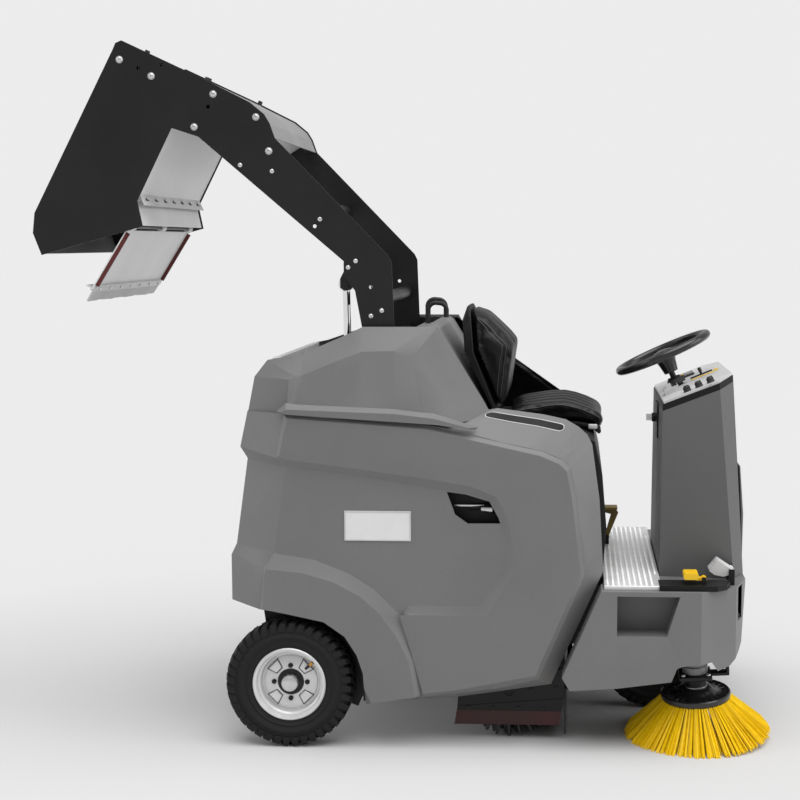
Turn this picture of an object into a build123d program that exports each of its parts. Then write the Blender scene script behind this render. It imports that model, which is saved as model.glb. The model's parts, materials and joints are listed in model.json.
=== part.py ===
from build123d import *
import math
import os

# Ride-on sweeper with a rear high-dump hopper, in millimetres.
# Built with x forward from the rear axle, y to the machine's left and z up from
# the floor; save() then moves every piece so the whole machine is centred.

SHIFT_X = -353.5      # puts the middle of the machine's length on the origin
SHIFT_Y = 26.0        # the side broom reaches out past the right side only

# overall
HALF_WIDTH = 525.0    # half width over the wheel flares
WALL = 8.0            # moulded shell wall

# rear wheels, 4.00-8
TYRE_R = 203.0
TYRE_W = 100.0
RIM_R = 115.5
WHEEL_Y = 470.0
STUB_R = 20.0
RUN = 0.05            # radial running clearance

# front wheel
FRONT_X = 1165.0
FRONT_R = 175.0
FRONT_W = 90.0

# hopper lift
PIVOT_X = 285.0
PIVOT_Z = 1272.0
LIFT_TURN = 115.0     # degrees from raised to lowered
ARM_Y = 400.0         # outer face of the arm plates
ARM_T = 5.0
SHAFT_R = 20.0
EYE_X = 163.0         # lift cylinder eye on the arm, raised
EYE_Z = 1457.0
RAM_Y = 300.0

# chassis side plates
PLATE_IN = 406.0
PLATE_OUT = 414.0
SHELL_IN = 416.0

# brushes
ROLLER_X = 690.0
ROLLER_R = 160.0
ROLLER_Z = 161.0
ROLLER_HALF = 385.0
BROOM_X = 1290.0
BROOM_Y = -340.0
BROOM_R = 236.0
BROOM_TILT = 5.0

ARM_PIN_Y = -150.0    # broom arm hinge, clear of the steered front wheel
ARM_PIN_Z = 330.0

# lashing eyes, hanging below the front moulding
EYE_BORE = 10.0
LASH_X = 1392.0
LASH_Z = 236.0

# operator's place
FLOOR_TOP = 529.0
COLUMN_LEAN = 24.0    # degrees, steering column from upright
PANEL_SLOPE = 22.0    # degrees, console top above level
PANEL_Z = 1053.0      # console edge under the trim, at its rear
TRIM_HIGH = 20.0
PANEL_TOP = 27.0      # instrument panel face above the console edge

os.makedirs("parts", exist_ok=True)


def save(name, shape):
    """Write one node, moved to the machine's centred frame."""
    export_step(Pos(SHIFT_X, SHIFT_Y, 0) * shape, f"parts/{name}.step")


def flat(points, y):
    """Upright face from (x, z) points at one y."""
    return make_face(Polyline(*[(x, y, z) for x, z in points], close=True))


def slab(points, y_low, y_high):
    """Solid between two y values from a side outline."""
    return extrude(flat(points, y_low), amount=y_high - y_low, dir=(0, 1, 0))


def ruled(points_a, y_a, points_b, y_b):
    """Straight-sided solid from one side outline to another."""
    return loft([flat(points_a, y_a), flat(points_b, y_b)], ruled=True)


def inset(points, gap):
    """The same outline moved inwards by a constant gap."""
    area = sum(a[0] * b[1] - b[0] * a[1] for a, b in zip(points, points[1:] + points[:1]))
    turn = 1 if area > 0 else -1
    moved = []
    for before, here, after in zip(points[-1:] + points[:-1], points, points[1:] + points[:1]):
        first = math.atan2(here[1] - before[1], here[0] - before[0])
        second = math.atan2(after[1] - here[1], after[0] - here[0])
        bend = (second - first + math.pi) % (2 * math.pi) - math.pi
        middle = first + bend / 2 + turn * math.pi / 2
        reach = gap / max(math.cos(bend / 2), 0.5)
        moved.append((here[0] + reach * math.cos(middle), here[1] + reach * math.sin(middle)))
    return moved


def box(x0, x1, y0, y1, z0, z1):
    """Box from its limits."""
    middle = Pos((x0 + x1) / 2, (y0 + y1) / 2, (z0 + z1) / 2)
    return middle * Box(x1 - x0, y1 - y0, z1 - z0)


def rod_y(x, z, radius, y0, y1):
    """Cylinder lying across the machine."""
    return Pos(x, (y0 + y1) / 2, z) * Rot(90, 0, 0) * Cylinder(radius, y1 - y0)


def swung(point, degrees):
    """A side-view point carried round the lift pivot, rearwards and down."""
    turn = math.radians(degrees)
    dx = point[0] - PIVOT_X
    dz = point[1] - PIVOT_Z
    x = PIVOT_X + dx * math.cos(turn) - dz * math.sin(turn)
    z = PIVOT_Z + dx * math.sin(turn) + dz * math.cos(turn)
    return (x, z)


EYE_UP = (EYE_X, EYE_Z)
EYE_DOWN = swung(EYE_UP, LIFT_TURN)
STROKE = math.dist(EYE_UP, EYE_DOWN)
RAM_DIR = ((EYE_UP[0] - EYE_DOWN[0]) / STROKE, (EYE_UP[1] - EYE_DOWN[1]) / STROKE)
SHUT = 520.0          # eye to eye, closed
BASE = (EYE_DOWN[0] - RAM_DIR[0] * SHUT, EYE_DOWN[1] - RAM_DIR[1] * SHUT)
RAM_LEAN = math.degrees(math.atan2(RAM_DIR[0], RAM_DIR[1]))


def left(shape):
    """The same piece on the other side of the machine."""
    return mirror(shape, about=Plane.XZ)


def screws(places, radius, y0, y1):
    """A set of equal screw heads lying across the machine."""
    return Compound([rod_y(x, z, radius, y0, y1) for x, z in places])


# ---------------------------------------------------------------- side shells
# Each shell is built on the left (y > 0) from outlines at several depths.
LOWER_BACK = [
    (-194, 455), (-194, 601), (-176, 638), (-137, 911), (-160, 948), (-135, 1062),
    (471, 1040), (654, 1073), (712, 1066), (798, 1054), (868, 1039), (908, 1016),
    (935, 992), (951, 961), (975, 787), (988, 559), (825, 193), (667, 168),
    (521, 146), (243, 125), (236, 197), (233, 243), (214, 302), (176, 360),
    (112, 404), (4, 427),
]
LOWER_FACE = [
    (-91, 441), (-77, 577), (-42, 625), (-3, 897), (-35, 922), (-8, 1060),
    (437, 1028), (560, 1005), (673, 975), (740, 962), (799, 948), (840, 932),
    (861, 921), (885, 897), (903, 800), (930, 562), (785, 229), (667, 200),
    (521, 178), (262, 157), (236, 197), (233, 243), (214, 302), (176, 360),
    (112, 404), (4, 427),
]
UPPER_BACK = [
    (-135, 1050), (-111, 1170), (-70, 1222), (44, 1243), (189, 1306), (232, 1327),
    (440, 1327), (469, 1327), (640, 1045),
]
UPPER_MID = [
    (0, 1050), (6, 1165), (30, 1172), (45, 1177), (190, 1236), (237, 1253),
    (336, 1255), (392, 1237), (545, 1035),
]
UPPER_FACE = [
    (4, 1052), (4, 1080), (20, 1088), (40, 1090), (190, 1083), (240, 1081),
    (342, 1075), (420, 1066), (500, 1036),
]
BELT_ROOT = [
    (-35, 922), (-8, 1060), (437, 1028), (673, 975), (799, 948), (861, 921),
    (885, 897), (903, 800), (930, 562), (785, 229), (521, 178), (420, 167),
    (390, 260), (345, 400), (378, 461), (605, 463), (686, 584), (661, 739),
    (633, 790), (576, 810), (447, 827), (233, 865), (-4, 896),
]
BELT_FACE = [
    (-20, 932), (6, 1048), (437, 1016), (668, 963), (790, 936), (849, 911),
    (872, 888), (889, 800), (916, 565), (776, 243), (521, 192), (424, 181),
    (400, 270), (353, 432), (400, 432), (626, 432), (719, 585), (690, 743),
    (655, 807), (577, 839), (456, 860), (257, 887), (-10, 921),
]
FLARE_ROOT = [
    (-43, 624), (86, 603), (194, 560), (273, 510), (352, 431), (390, 349),
    (414, 279), (426, 180), (243, 140), (236, 197), (233, 243), (214, 302),
    (176, 360), (112, 404), (4, 427), (-91, 441), (-77, 577),
]
FLARE_FACE = [
    (-66, 574), (50, 563), (146, 535), (229, 491), (292, 433), (343, 362),
    (381, 284), (400, 170), (262, 150), (240, 197), (237, 243), (218, 302),
    (180, 362), (114, 408), (4, 431), (-78, 446), (-70, 560),
]
FIN_ROOT = [
    (-30, 1068), (0, 1094), (342, 1079), (463, 1064), (598, 1022), (590, 1014),
    (471, 1028), (-2, 1058),
]
FIN_FACE = [
    (-12, 1067), (4, 1076), (342, 1064), (463, 1050), (570, 1022), (566, 1018),
    (471, 1031), (0, 1061),
]
INTAKE = [(500, 820), (560, 812), (633, 790), (661, 739), (667, 721), (565, 720), (526, 748)]

BACK_Y = 430.0
FACE_Y = 503.0
BELT_Y = 517.0


def shell_left():
    """Left outer shell: one open moulding with belt, flare, fin and intake."""
    body = slab(LOWER_BACK, SHELL_IN, BACK_Y)
    body += ruled(LOWER_BACK, BACK_Y, LOWER_FACE, FACE_Y)
    body += slab(UPPER_BACK, SHELL_IN, BACK_Y)
    body += ruled(UPPER_BACK, BACK_Y, UPPER_MID, 480)
    body += ruled(UPPER_MID, 480, UPPER_FACE, 505)
    hollow = slab(inset(LOWER_BACK, WALL), SHELL_IN - 5, BACK_Y)
    hollow += ruled(inset(LOWER_BACK, WALL), BACK_Y, inset(LOWER_FACE, WALL + 3), FACE_Y - WALL)
    hollow += slab(inset(UPPER_BACK, WALL), SHELL_IN - 5, BACK_Y)
    hollow += ruled(inset(UPPER_BACK, WALL), BACK_Y, inset(UPPER_MID, WALL + 3), 472)
    body -= hollow
    body += ruled(BELT_ROOT, FACE_Y - 1, BELT_FACE, BELT_Y)
    body += ruled(FLARE_ROOT, FACE_Y - 1, FLARE_FACE, HALF_WIDTH)
    body += ruled(FIN_ROOT, FACE_Y - 1, FIN_FACE, HALF_WIDTH)
    body -= slab(INTAKE, FACE_Y - 40, HALF_WIDTH + 5)
    return body


left_shell = shell_left()
save("left_side_shell", left_shell)
save("right_side_shell", left(left_shell))

# name plate, left blank, one on each side
plate = box(180, 388, -FACE_Y - 2, -FACE_Y, 664, 758)
save("side_plates", Compound([plate, left(plate)]))

# black return piece behind each air intake, with a short pipe
duct = slab(inset(INTAKE, -14), 452, 456)
duct_box = slab(inset(INTAKE, -14), 456, 494) - slab(inset(INTAKE, -6), 455, 495)
pipe = Pos(600, 464, 768) * Rot(0, 84, 0) * Cylinder(9, 62)
duct_left = duct + duct_box + pipe
save("intake_ducts", Compound([duct_left, left(duct_left)]))

# ---------------------------------------------------------------- chassis
PLATE_OUTLINE = [
    (-110, 520), (-62, 170), (62, 170), (130, 300), (520, 320), (990, 320),
    (1080, 420), (1080, 508), (560, 508), (520, 640), (420, 1290), (340, 1318),
    (230, 1318), (150, 1200), (20, 760), (-60, 620),
]


def chassis():
    """Two side plates joined by cross beams."""
    side = slab(PLATE_OUTLINE, PLATE_IN, PLATE_OUT)
    side -= rod_y(PIVOT_X, PIVOT_Z, SHAFT_R, PLATE_IN - 5, PLATE_OUT + 5)
    side -= rod_y(0, TYRE_R, STUB_R, PLATE_IN - 5, PLATE_OUT + 5)
    frame = side + left(side)
    for x0, x1, z0, z1 in [(520, 560, 430, 500), (900, 960, 440, 508), (1030, 1080, 440, 508)]:
        frame += box(x0, x1, -PLATE_IN, PLATE_IN, z0, z1)
    for y in (-260, 200):
        frame += box(1060, 1400, y, y + 60, 468, 508)
    frame += box(1380, 1420, -260, 260, 440, 508)
    frame += Pos(FRONT_X, 0, 468) * Cylinder(70, 80)
    frame += box(1060, 1400, -20, 20, 470, 508)
    frame -= Pos(FRONT_X, 0, 468) * Cylinder(30, 100)
    frame += broom_hanger()
    frame += pivot_shaft()
    for mirrored in (stub_axle(), ram_pin()):
        frame += mirrored + left(mirrored)
    return frame


def pivot_shaft():
    """Fixed shaft the hopper arms turn on, with its end washers."""
    end = SHELL_IN - 0.5
    shaft = rod_y(PIVOT_X, PIVOT_Z, SHAFT_R, -end, end)
    washer = rod_y(PIVOT_X, PIVOT_Z, 34, PLATE_OUT, end)
    return shaft + washer + left(washer)


def stub_axle():
    """Left rear stub axle with its collar, welded through the side plate."""
    return rod_y(0, TYRE_R, STUB_R, PLATE_IN, 508) + rod_y(0, TYRE_R, 55, PLATE_OUT, SHELL_IN + 3)


def ram_pin():
    """Left lower pin of the lift ram."""
    return rod_y(BASE[0], BASE[1], 12, RAM_Y - 20, PLATE_IN) + rod_y(BASE[0], BASE[1], 22, RAM_Y + 16, RAM_Y + 28)


def lashing_eye():
    """Left front lashing eye, a drilled plate welded under the end beam."""
    strap = box(LASH_X - 20, LASH_X + 20, 236, 246, LASH_Z, 440) + rod_y(LASH_X, LASH_Z, 20, 236, 246)
    return strap - rod_y(LASH_X, LASH_Z, EYE_BORE, 220, 260)


def broom_hanger():
    """Bracket and cross pin that carry the side broom arm."""
    hanger = box(1250, 1330, ARM_PIN_Y + 24, ARM_PIN_Y + 50, 306, 508) + box(1270, 1310, -210, 0, 478, 508)
    hanger += Pos(BROOM_X, ARM_PIN_Y, ARM_PIN_Z) * Rot(0, 90, 0) * Cylinder(10, 104)
    for x in (1238, 1330):
        hanger += box(x, x + 12, ARM_PIN_Y - 14, ARM_PIN_Y + 50, 316, 420)
    return hanger


eye = lashing_eye()
save("chassis_frame", Compound([chassis(), eye, left(eye)]))

# black inner mudguards round the rear wheels
ARCH = [(4, 427), (112, 404), (176, 360), (214, 302), (233, 243), (236, 197), (240, 150)]
ARCH_IN = [(4, 422), (109, 400), (172, 357), (209, 300), (228, 242), (231, 197), (235, 150)]
guard = slab(ARCH + ARCH_IN[::-1], SHELL_IN + 2, 500)
save("rear_mudguards", Compound([guard, left(guard)]))

# ---------------------------------------------------------------- inner units
filter_box = box(60, 480, -240, 240, 645, 1100)
filter_box = fillet(filter_box.edges().filter_by(Axis.Y), 18)
filter_box -= box(80, 460, -220, 220, 665, 1080)
save("filter_housing", filter_box)

fan = Pos(360, 0, 1120) * Cylinder(105, 40) + Pos(360, 0, 1165) * Cylinder(52, 50)
save("suction_fan", fan)

# light frame with its dividing bar over the tray
top_frame = box(-62, -42, -390, 390, 1196, 1226)
top_frame += box(18, 32, -250, 250, 1204, 1234)
for y in (-235, 217):
    top_frame += box(-60, 32, y, y + 18, 1190, 1204)
    top_frame += box(18, 32, y, y + 18, 1090, 1204)
    top_frame += box(18, 60, y, y + 18, 1040, 1090)
save("rear_top_frame", top_frame)

DECK = [
    (346, 1250), (346, 1300), (400, 1300), (414, 1322), (440, 1322), (455, 1312),
    (606, 1062), (618, 1010), (588, 1010), (430, 1250),
]
deck = slab(DECK, -403, 403)
deck -= slab([(352, 1240), (352, 1294), (404, 1294), (418, 1316), (437, 1316),
              (450, 1308), (599, 1060), (606, 1000), (580, 1000)], -397, 397)
save("rear_deck", deck)

# seat box between the shells, open at the back
SEAT_BOX = [(560, 530), (985, 530), (998, 690), (984, 860), (960, 968), (905, 992), (560, 992)]
seat_box = slab(SEAT_BOX, -403, 403)
seat_box -= slab([(550, 536), (979, 536), (992, 690), (978, 858), (955, 963), (904, 986), (550, 986)],
                 -397, 397)
save("seat_box", seat_box)

battery = box(640, 930, -330, 330, 536, 880)
battery = fillet(battery.edges().filter_by(Axis.Z), 12)
for x in (700, 785, 870):
    for y in (-240, -80, 80, 240):
        battery += Pos(x, y, 883) * Cylinder(16, 10)
save("traction_battery", battery)

pump = box(420, 540, -395, -255, 520, 640)
pump += Pos(480, -325, 670) * Cylinder(45, 80)
save("hydraulic_unit", pump)

# ---------------------------------------------------------------- seat
SEAT_HALF = 225.0
pan = slab([(636, 993), (905, 993), (955, 985), (975, 965), (985, 975), (962, 998), (905, 1008),
            (636, 1008)], -SEAT_HALF + 15, SEAT_HALF - 15)

CUSHION = [
    (662, 1009), (905, 1009), (964, 1000), (988, 977), (1000, 1000), (998, 1018),
    (940, 1052), (864, 1074), (760, 1062), (668, 1042),
]
cushion = slab(CUSHION, -SEAT_HALF, SEAT_HALF)
cushion = fillet(cushion.edges().filter_by(Axis.Y), 9)
save("seat_cushion", cushion)

BACK_SHELL = [(522, 1338), (530, 1240), (640, 1050), (630, 1000), (640, 1000), (652, 1052),
              (560, 1244), (552, 1330), (548, 1386), (536, 1380)]
back_shell = slab(BACK_SHELL, -SEAT_HALF + 12, SEAT_HALF - 12)
save("seat_shell", back_shell + pan)

BACK_PAD = [(553, 1332), (561, 1245), (653, 1052), (667, 1050), (672, 1085), (696, 1250), (690, 1270),
            (640, 1322), (562, 1386), (549, 1386)]
back_pad = slab(BACK_PAD, -SEAT_HALF, SEAT_HALF)
back_pad = fillet(back_pad.edges().filter_by(Axis.Y).sort_by(Axis.X)[-4:], 8)
save("backrest_cushion", back_pad)

# ---------------------------------------------------------------- front end
FRONT_SIDE = [
    (981, 515), (860, 238), (884, 198), (1031, 208), (1200, 231), (1216, 272), (1231, 280),
    (1326, 289), (1346, 257), (1385, 266), (1419, 299), (1431, 320), (1446, 500), (1446, 515),
]
FRONT_PLAN = [(850, -525), (1290, -525), (1405, -440), (1450, -300),
              (1450, 300), (1405, 440), (1290, 525), (850, 525)]
STEP_FRAME = [(1030, 500), (1224, 500), (1185, 374), (1030, 374)]


def plan(points, z0, z1):
    """Upright solid from a plan outline."""
    return extrude(make_face(Polyline(*[(x, y, z0) for x, y in points], close=True)), z1 - z0,
                   dir=(0, 0, 1))


def front_shell():
    """Front lower moulding with a step pocket in each side, open underneath."""
    outer = slab(FRONT_SIDE, -HALF_WIDTH, HALF_WIDTH) & plan(FRONT_PLAN, 150, 520)
    inner_side = [(988, 507), (880, 250), (890, 100), (1420, 100), (1424, 320), (1438, 507)]
    inner_plan = [(840, -517), (1287, -517), (1399, -435), (1442, -297),
                  (1442, 297), (1399, 435), (1287, 517), (840, 517)]
    inner = slab(inner_side, -517, 517) & plan(inner_plan, 90, 507)
    shell = outer - inner
    for side in (-1, 1):
        y0, y1 = sorted((side * 418, side * 520))
        shell += slab(inset(STEP_FRAME, -6), y0, y1)
    for side in (-1, 1):
        y0, y1 = sorted((side * 424, side * 530))
        shell -= slab(STEP_FRAME, y0, y1)
    # clearance round the steering head and the frame
    shell -= box(840, 1430, -416, 416, 400, 508)
    shell -= box(840, 1100, -416, 416, 190, 520)
    shell -= Pos(FRONT_X, 0, 300) * Cylinder(215, 480)
    return shell


save("front_shell", front_shell())

floor_plan = [(990, -500), (1160, -500), (1160, -335), (1168, -322), (1168, 322), (1160, 335),
              (1160, 500), (990, 500)]
floor = plan(floor_plan, 515, FLOOR_TOP) - plan(inset(floor_plan, 3), 514, FLOOR_TOP - 3)
save("floor_plate", floor)

# ---------------------------------------------------------------- console
CONSOLE_REAR = 1179.0
CONSOLE_LOW = [(1172, -290), (1408, -318), (1446, -240), (1446, 240), (1408, 318), (1172, 290)]
CONSOLE_HIGH = [(1179, -290), (1350, -318), (1402, -240), (1402, 240), (1350, 318), (1179, 290)]


def plan_face(points, z):
    """Level face from a plan outline."""
    return make_face(Polyline(*[(x, y, z) for x, y in points], close=True))


def console_block(gap, z_low, z_high):
    """Tapered upright block of the console, its walls moved in by a gap."""
    low = plan_face(inset(CONSOLE_LOW, gap), z_low)
    high = plan_face(inset(CONSOLE_HIGH, gap), z_high)
    return loft([low, high], ruled=True)


def slope(offset):
    """Side-view line of the sloping console top, raised by an offset."""
    rise = math.tan(math.radians(PANEL_SLOPE))
    up = offset / math.cos(math.radians(PANEL_SLOPE))
    return [(x, PANEL_Z + up + (x - CONSOLE_REAR) * rise) for x in (1100, 1500)]


def below_slope(shape, offset):
    """The part of a shape under the sloping line."""
    line = slope(offset)
    return shape & slab([(1100, 400), (1500, 400), line[1], line[0]], -500, 500)


def between_slopes(shape, low, high):
    """The part of a shape between two heights above the sloping line."""
    first = slope(low)
    second = slope(high)
    return shape & slab([first[0], first[1], second[1], second[0]], -500, 500)


block = console_block(0, 515, 1200)
COLUMN_X = 1250.0
COLUMN_Z = 1090.6     # where the column line crosses the console top


def on_column(up, shape):
    """Place a shape on the steering column's line."""
    return Pos(COLUMN_X, 0, COLUMN_Z) * Rot(0, -COLUMN_LEAN, 0) * Pos(0, 0, up) * shape


def on_panel(x, y, up, shape):
    """Place a shape over the console edge, its z axis square to the slope."""
    z = PANEL_Z + (x - CONSOLE_REAR) * math.tan(math.radians(PANEL_SLOPE))
    return Pos(x, y, z) * Rot(0, -PANEL_SLOPE, 0) * Pos(0, 0, up) * shape


console = below_slope(block, 0) - below_slope(console_block(WALL, 500, 1200), -WALL)
console -= box(1171, 1181, -58, 58, 935, 1052)
console -= on_column(0, Cylinder(34, 80))
save("console_shell", console)

trim = between_slopes(block, 0, TRIM_HIGH) - between_slopes(console_block(WALL, 515, 1200), -1, TRIM_HIGH + 1)
save("console_trim", trim)

LEVER_PLACE = (1337.0, 45.0)
KNOB_Y = -266.0
KNOB_PLACES = {"broom_knob": 1268.0, "roller_knob": 1305.0, "fan_knob": 1342.0}
top = between_slopes(console_block(3, 515, 1200), TRIM_HIGH, PANEL_TOP)
top += between_slopes(console_block(WALL + 0.5, 515, 1200), TRIM_HIGH - 8, TRIM_HIGH)
top -= on_column(30, Cylinder(24, 80))
for x in KNOB_PLACES.values():
    top -= on_panel(x, KNOB_Y, 40, Cylinder(8, 60))
top -= on_panel(*LEVER_PLACE, 40, Box(50, 14, 60))
switches = on_panel(1228, -125, PANEL_TOP + 10, Box(50, 70, 20)) + on_panel(1222, -125, PANEL_TOP + 23, Box(20, 54, 12))
save("instrument_panel", top + switches)

key_plate = box(1172, 1180, -58, 58, 935, 1052)
key_plate += Pos(1168, 0, 1000) * Rot(0, 90, 0) * Cylinder(15, 22)
key_plate -= Pos(1158, 0, 1000) * Rot(0, 90, 0) * Cylinder(5.05, 30)
save("key_switch", key_plate)

key = Pos(1163, 0, 1000) * Rot(0, 90, 0) * Cylinder(5, 14) + box(1138, 1156, -2, 2, 989, 1011)
save("ignition_key", key)

nose = slab([(1446.5, 545), (1450, 545), (1452, 700), (1440, 860), (1436, 860), (1444.5, 700)], -170, 170)
nose = nose - console_block(0, 515, 1200)
save("front_cover", nose)

for name, x in KNOB_PLACES.items():
    knob = on_panel(x, KNOB_Y, PANEL_TOP + 9, Cylinder(12, 16))
    knob += on_panel(x, KNOB_Y, PANEL_TOP - 6, Cylinder(8 - RUN, 20))
    knob += on_panel(x, KNOB_Y, PANEL_TOP + 18, Box(21, 5, 3))
    save(name, knob)

lever = on_panel(*LEVER_PLACE, 28, Cylinder(4, 40)) + on_panel(*LEVER_PLACE, 45, Cylinder(6, 16))
lever += on_panel(*LEVER_PLACE, 8, Rot(90, 0, 0) * Cylinder(6, 12))
save("hopper_lever", lever)

# ---------------------------------------------------------------- steering
column = on_column(20, Cylinder(22, 62))
column += on_column(-6, Cylinder(33.5, 12))
column -= on_column(20, Cylinder(10 + RUN, 100))
save("steering_column", column)

WHEEL_LIFT = 142.0    # steering wheel centre above the console slope
RIM_LINE = 158.0
RIM_TUBE = 13.0
wheel = Torus(RIM_LINE, RIM_TUBE)
for turn in (90, 210, 330):
    spoke = Rot(0, 0, turn) * Pos(88, 0, -8) * Rot(0, -6, 0) * Box(132, 30, 9)
    wheel += spoke
wheel += Pos(0, 0, -10) * Cylinder(38, 26)
wheel += Pos(0, 0, -46) * Cylinder(27, 50)
wheel = wheel - Pos(0, 0, -50) * Cylinder(10, 44)
save("steering_wheel", on_column(WHEEL_LIFT, wheel) + on_column(41, Cylinder(10, 143)))

# ---------------------------------------------------------------- pedals
pedal_bed = plan([(1161, -510), (1340, -510), (1372, -480), (1385, -440), (1385, -420), (1161, -420)],
                 515, FLOOR_TOP + 3)

# drive pedal, pivoted on a cross pin in front of its foot plate
DRIVE_PIN = (1392.0, 556.0)
DRIVE_Y = -372.0
drive = slab([(1322, 558), (1350, 592), (1398, 560), (1392, 548), (1366, 540), (1338, 546)],
             DRIVE_Y - 34, DRIVE_Y + 34)
drive += rod_y(DRIVE_PIN[0], DRIVE_PIN[1], 11, DRIVE_Y - 20, DRIVE_Y + 20)
drive -= rod_y(DRIVE_PIN[0], DRIVE_PIN[1], 5 + RUN, DRIVE_Y - 40, DRIVE_Y + 40)
save("drive_pedal", drive)

drive_bracket = rod_y(DRIVE_PIN[0], DRIVE_PIN[1], 5, DRIVE_Y - 44, DRIVE_Y + 44)
for y in (DRIVE_Y - 44, DRIVE_Y + 37):
    drive_bracket += box(DRIVE_PIN[0] - 9, DRIVE_PIN[0] + 9, y, y + 7, 515, DRIVE_PIN[1] + 9)

# brake pedal, yellow pad
BRAKE_PIN = (1300.0, 546.0)
BRAKE_Y = -462.0
brake = box(1236, 1282, BRAKE_Y - 32, BRAKE_Y + 32, 548, 568)
brake = fillet(brake.edges().filter_by(Axis.Y), 6)
brake += box(1276, 1300, BRAKE_Y - 9, BRAKE_Y + 9, 541, 551)
brake += rod_y(BRAKE_PIN[0], BRAKE_PIN[1], 9, BRAKE_Y - 12, BRAKE_Y + 12)
brake -= rod_y(BRAKE_PIN[0], BRAKE_PIN[1], 4 + RUN, BRAKE_Y - 30, BRAKE_Y + 30)
save("brake_pedal", brake)

brake_bracket = rod_y(BRAKE_PIN[0], BRAKE_PIN[1], 4, BRAKE_Y - 22, BRAKE_Y + 22)
for y in (BRAKE_Y - 22, BRAKE_Y + 16):
    brake_bracket += box(BRAKE_PIN[0] - 7, BRAKE_PIN[0] + 7, y, y + 6, FLOOR_TOP + 3, BRAKE_PIN[1] + 7)

# foot lever by the seat that lifts the dirt flap
FOOT_PIN = (1010.0, 552.0)
FOOT_Y = 180.0
foot = slab([(1003, 552), (1017, 552), (1040, 610), (1052, 640), (1040, 656), (1000, 654),
             (1004, 640), (1026, 634)], FOOT_Y - 7, FOOT_Y + 7)
foot += box(1000, 1048, FOOT_Y - 30, FOOT_Y + 30, 654, 662)
foot += rod_y(FOOT_PIN[0], FOOT_PIN[1], 11, FOOT_Y - 7, FOOT_Y + 7)
foot -= rod_y(FOOT_PIN[0], FOOT_PIN[1], 5 + RUN, FOOT_Y - 30, FOOT_Y + 30)
save("foot_lever", foot)

foot_bracket = rod_y(FOOT_PIN[0], FOOT_PIN[1], 5, FOOT_Y - 18, FOOT_Y + 18)
for y in (FOOT_Y - 18, FOOT_Y + 11):
    foot_bracket += box(FOOT_PIN[0] - 9, FOOT_PIN[0] + 9, y, y + 7, FLOOR_TOP, FOOT_PIN[1] + 9)
save("pedal_bed", Compound([pedal_bed + brake_bracket, drive_bracket, foot_bracket]))

# ---------------------------------------------------------------- wheels


def ring_y(x, z, profile, y):
    """Turned solid about a cross axle from (radius, offset along y) points."""
    outline = Polyline(*[(x + r, y + h, z) for r, h in profile], close=True)
    return revolve(make_face(outline), Axis((x, y, z), (0, 1, 0)), 360)


def tyre(x, z, radius, width, bead, y):
    """Pneumatic tyre with a rounded crown."""
    half = width / 2
    profile = [
        (bead, -half * 0.72), (bead + 12, -half * 0.86), (radius * 0.78, -half),
        (radius * 0.93, -half * 0.86), (radius, -half * 0.52), (radius, half * 0.52),
        (radius * 0.93, half * 0.86), (radius * 0.78, half), (bead + 12, half * 0.86),
        (bead, half * 0.72),
    ]
    return ring_y(x, z, profile, y)


RIM_PROFILE = [
    (RUN + STUB_R, -8), (56, -8), (60, -30), (RIM_R - 12, -36), (RIM_R, -38), (RIM_R, 38),
    (RIM_R - 12, 38), (RIM_R - 12, -22), (70, -18), (66, 6), (45, 10), (40, 30),
    (STUB_R + RUN, 30),
]


CAP_PROFILE = [(0, 42), (22, 42), (30, 36), (30, 30), (24, 30), (24, 38.5), (0, 38.5)]


def rear_rim():
    """Left rear rim: turned disc with four holes, four bolts and the hub cap."""
    rim = ring_y(0, TYRE_R, RIM_PROFILE, WHEEL_Y)
    for turn in range(45, 405, 90):
        x = 84 * math.cos(math.radians(turn))
        z = TYRE_R + 84 * math.sin(math.radians(turn))
        rim -= rod_y(x, z, 7, WHEEL_Y - 40, WHEEL_Y + 40)
        bolt_x = 53 * math.cos(math.radians(turn + 45))
        bolt_z = TYRE_R + 53 * math.sin(math.radians(turn + 45))
        rim += rod_y(bolt_x, bolt_z, 8, WHEEL_Y + 5, WHEEL_Y + 17)
    rim += ring_y(0, TYRE_R, CAP_PROFILE, WHEEL_Y)
    return rim


tyre_left = tyre(0, TYRE_R, TYRE_R, TYRE_W, RIM_R, WHEEL_Y)
rim_left = rear_rim()
save("left_rear_rim", rim_left)
save("right_rear_rim", left(rim_left))
save("left_rear_tyre", tyre_left)
save("right_rear_tyre", left(tyre_left))

front_tyre = tyre(FRONT_X, FRONT_R, FRONT_R, FRONT_W, 95, 0)
save("front_tyre", front_tyre)
front_rim = ring_y(FRONT_X, FRONT_R, [
    (15 + RUN, -40), (34, -40), (36, -12), (80, -12), (84, -34), (95, -34), (95, 34), (84, 34),
    (80, 12), (36, 12), (34, 40), (15 + RUN, 40)], 0)
save("front_rim", front_rim)

fork = Pos(FRONT_X, 0, 405) * Box(110, 126, 16)
for y in (-63, 51):
    fork += box(FRONT_X - 32, FRONT_X + 32, y, y + 12, FRONT_R, 413)
    fork += rod_y(FRONT_X, FRONT_R, 32, y, y + 12)
fork += Pos(FRONT_X, 0, 455) * Cylinder(30 - RUN, 100)
fork += rod_y(FRONT_X, FRONT_R, 15, -66, 66)
save("front_fork", fork)

# ---------------------------------------------------------------- main roller
core = rod_y(ROLLER_X, ROLLER_Z, 62, -ROLLER_HALF, ROLLER_HALF)
core += rod_y(ROLLER_X, ROLLER_Z, 16, -403, 403)
save("roller_core", core)

tufts = rod_y(ROLLER_X, ROLLER_Z, ROLLER_R, -ROLLER_HALF + 6, ROLLER_HALF - 6)
tufts -= rod_y(ROLLER_X, ROLLER_Z, 62, -ROLLER_HALF - 5, ROLLER_HALF + 5)
save("roller_bristles", tufts)


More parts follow.
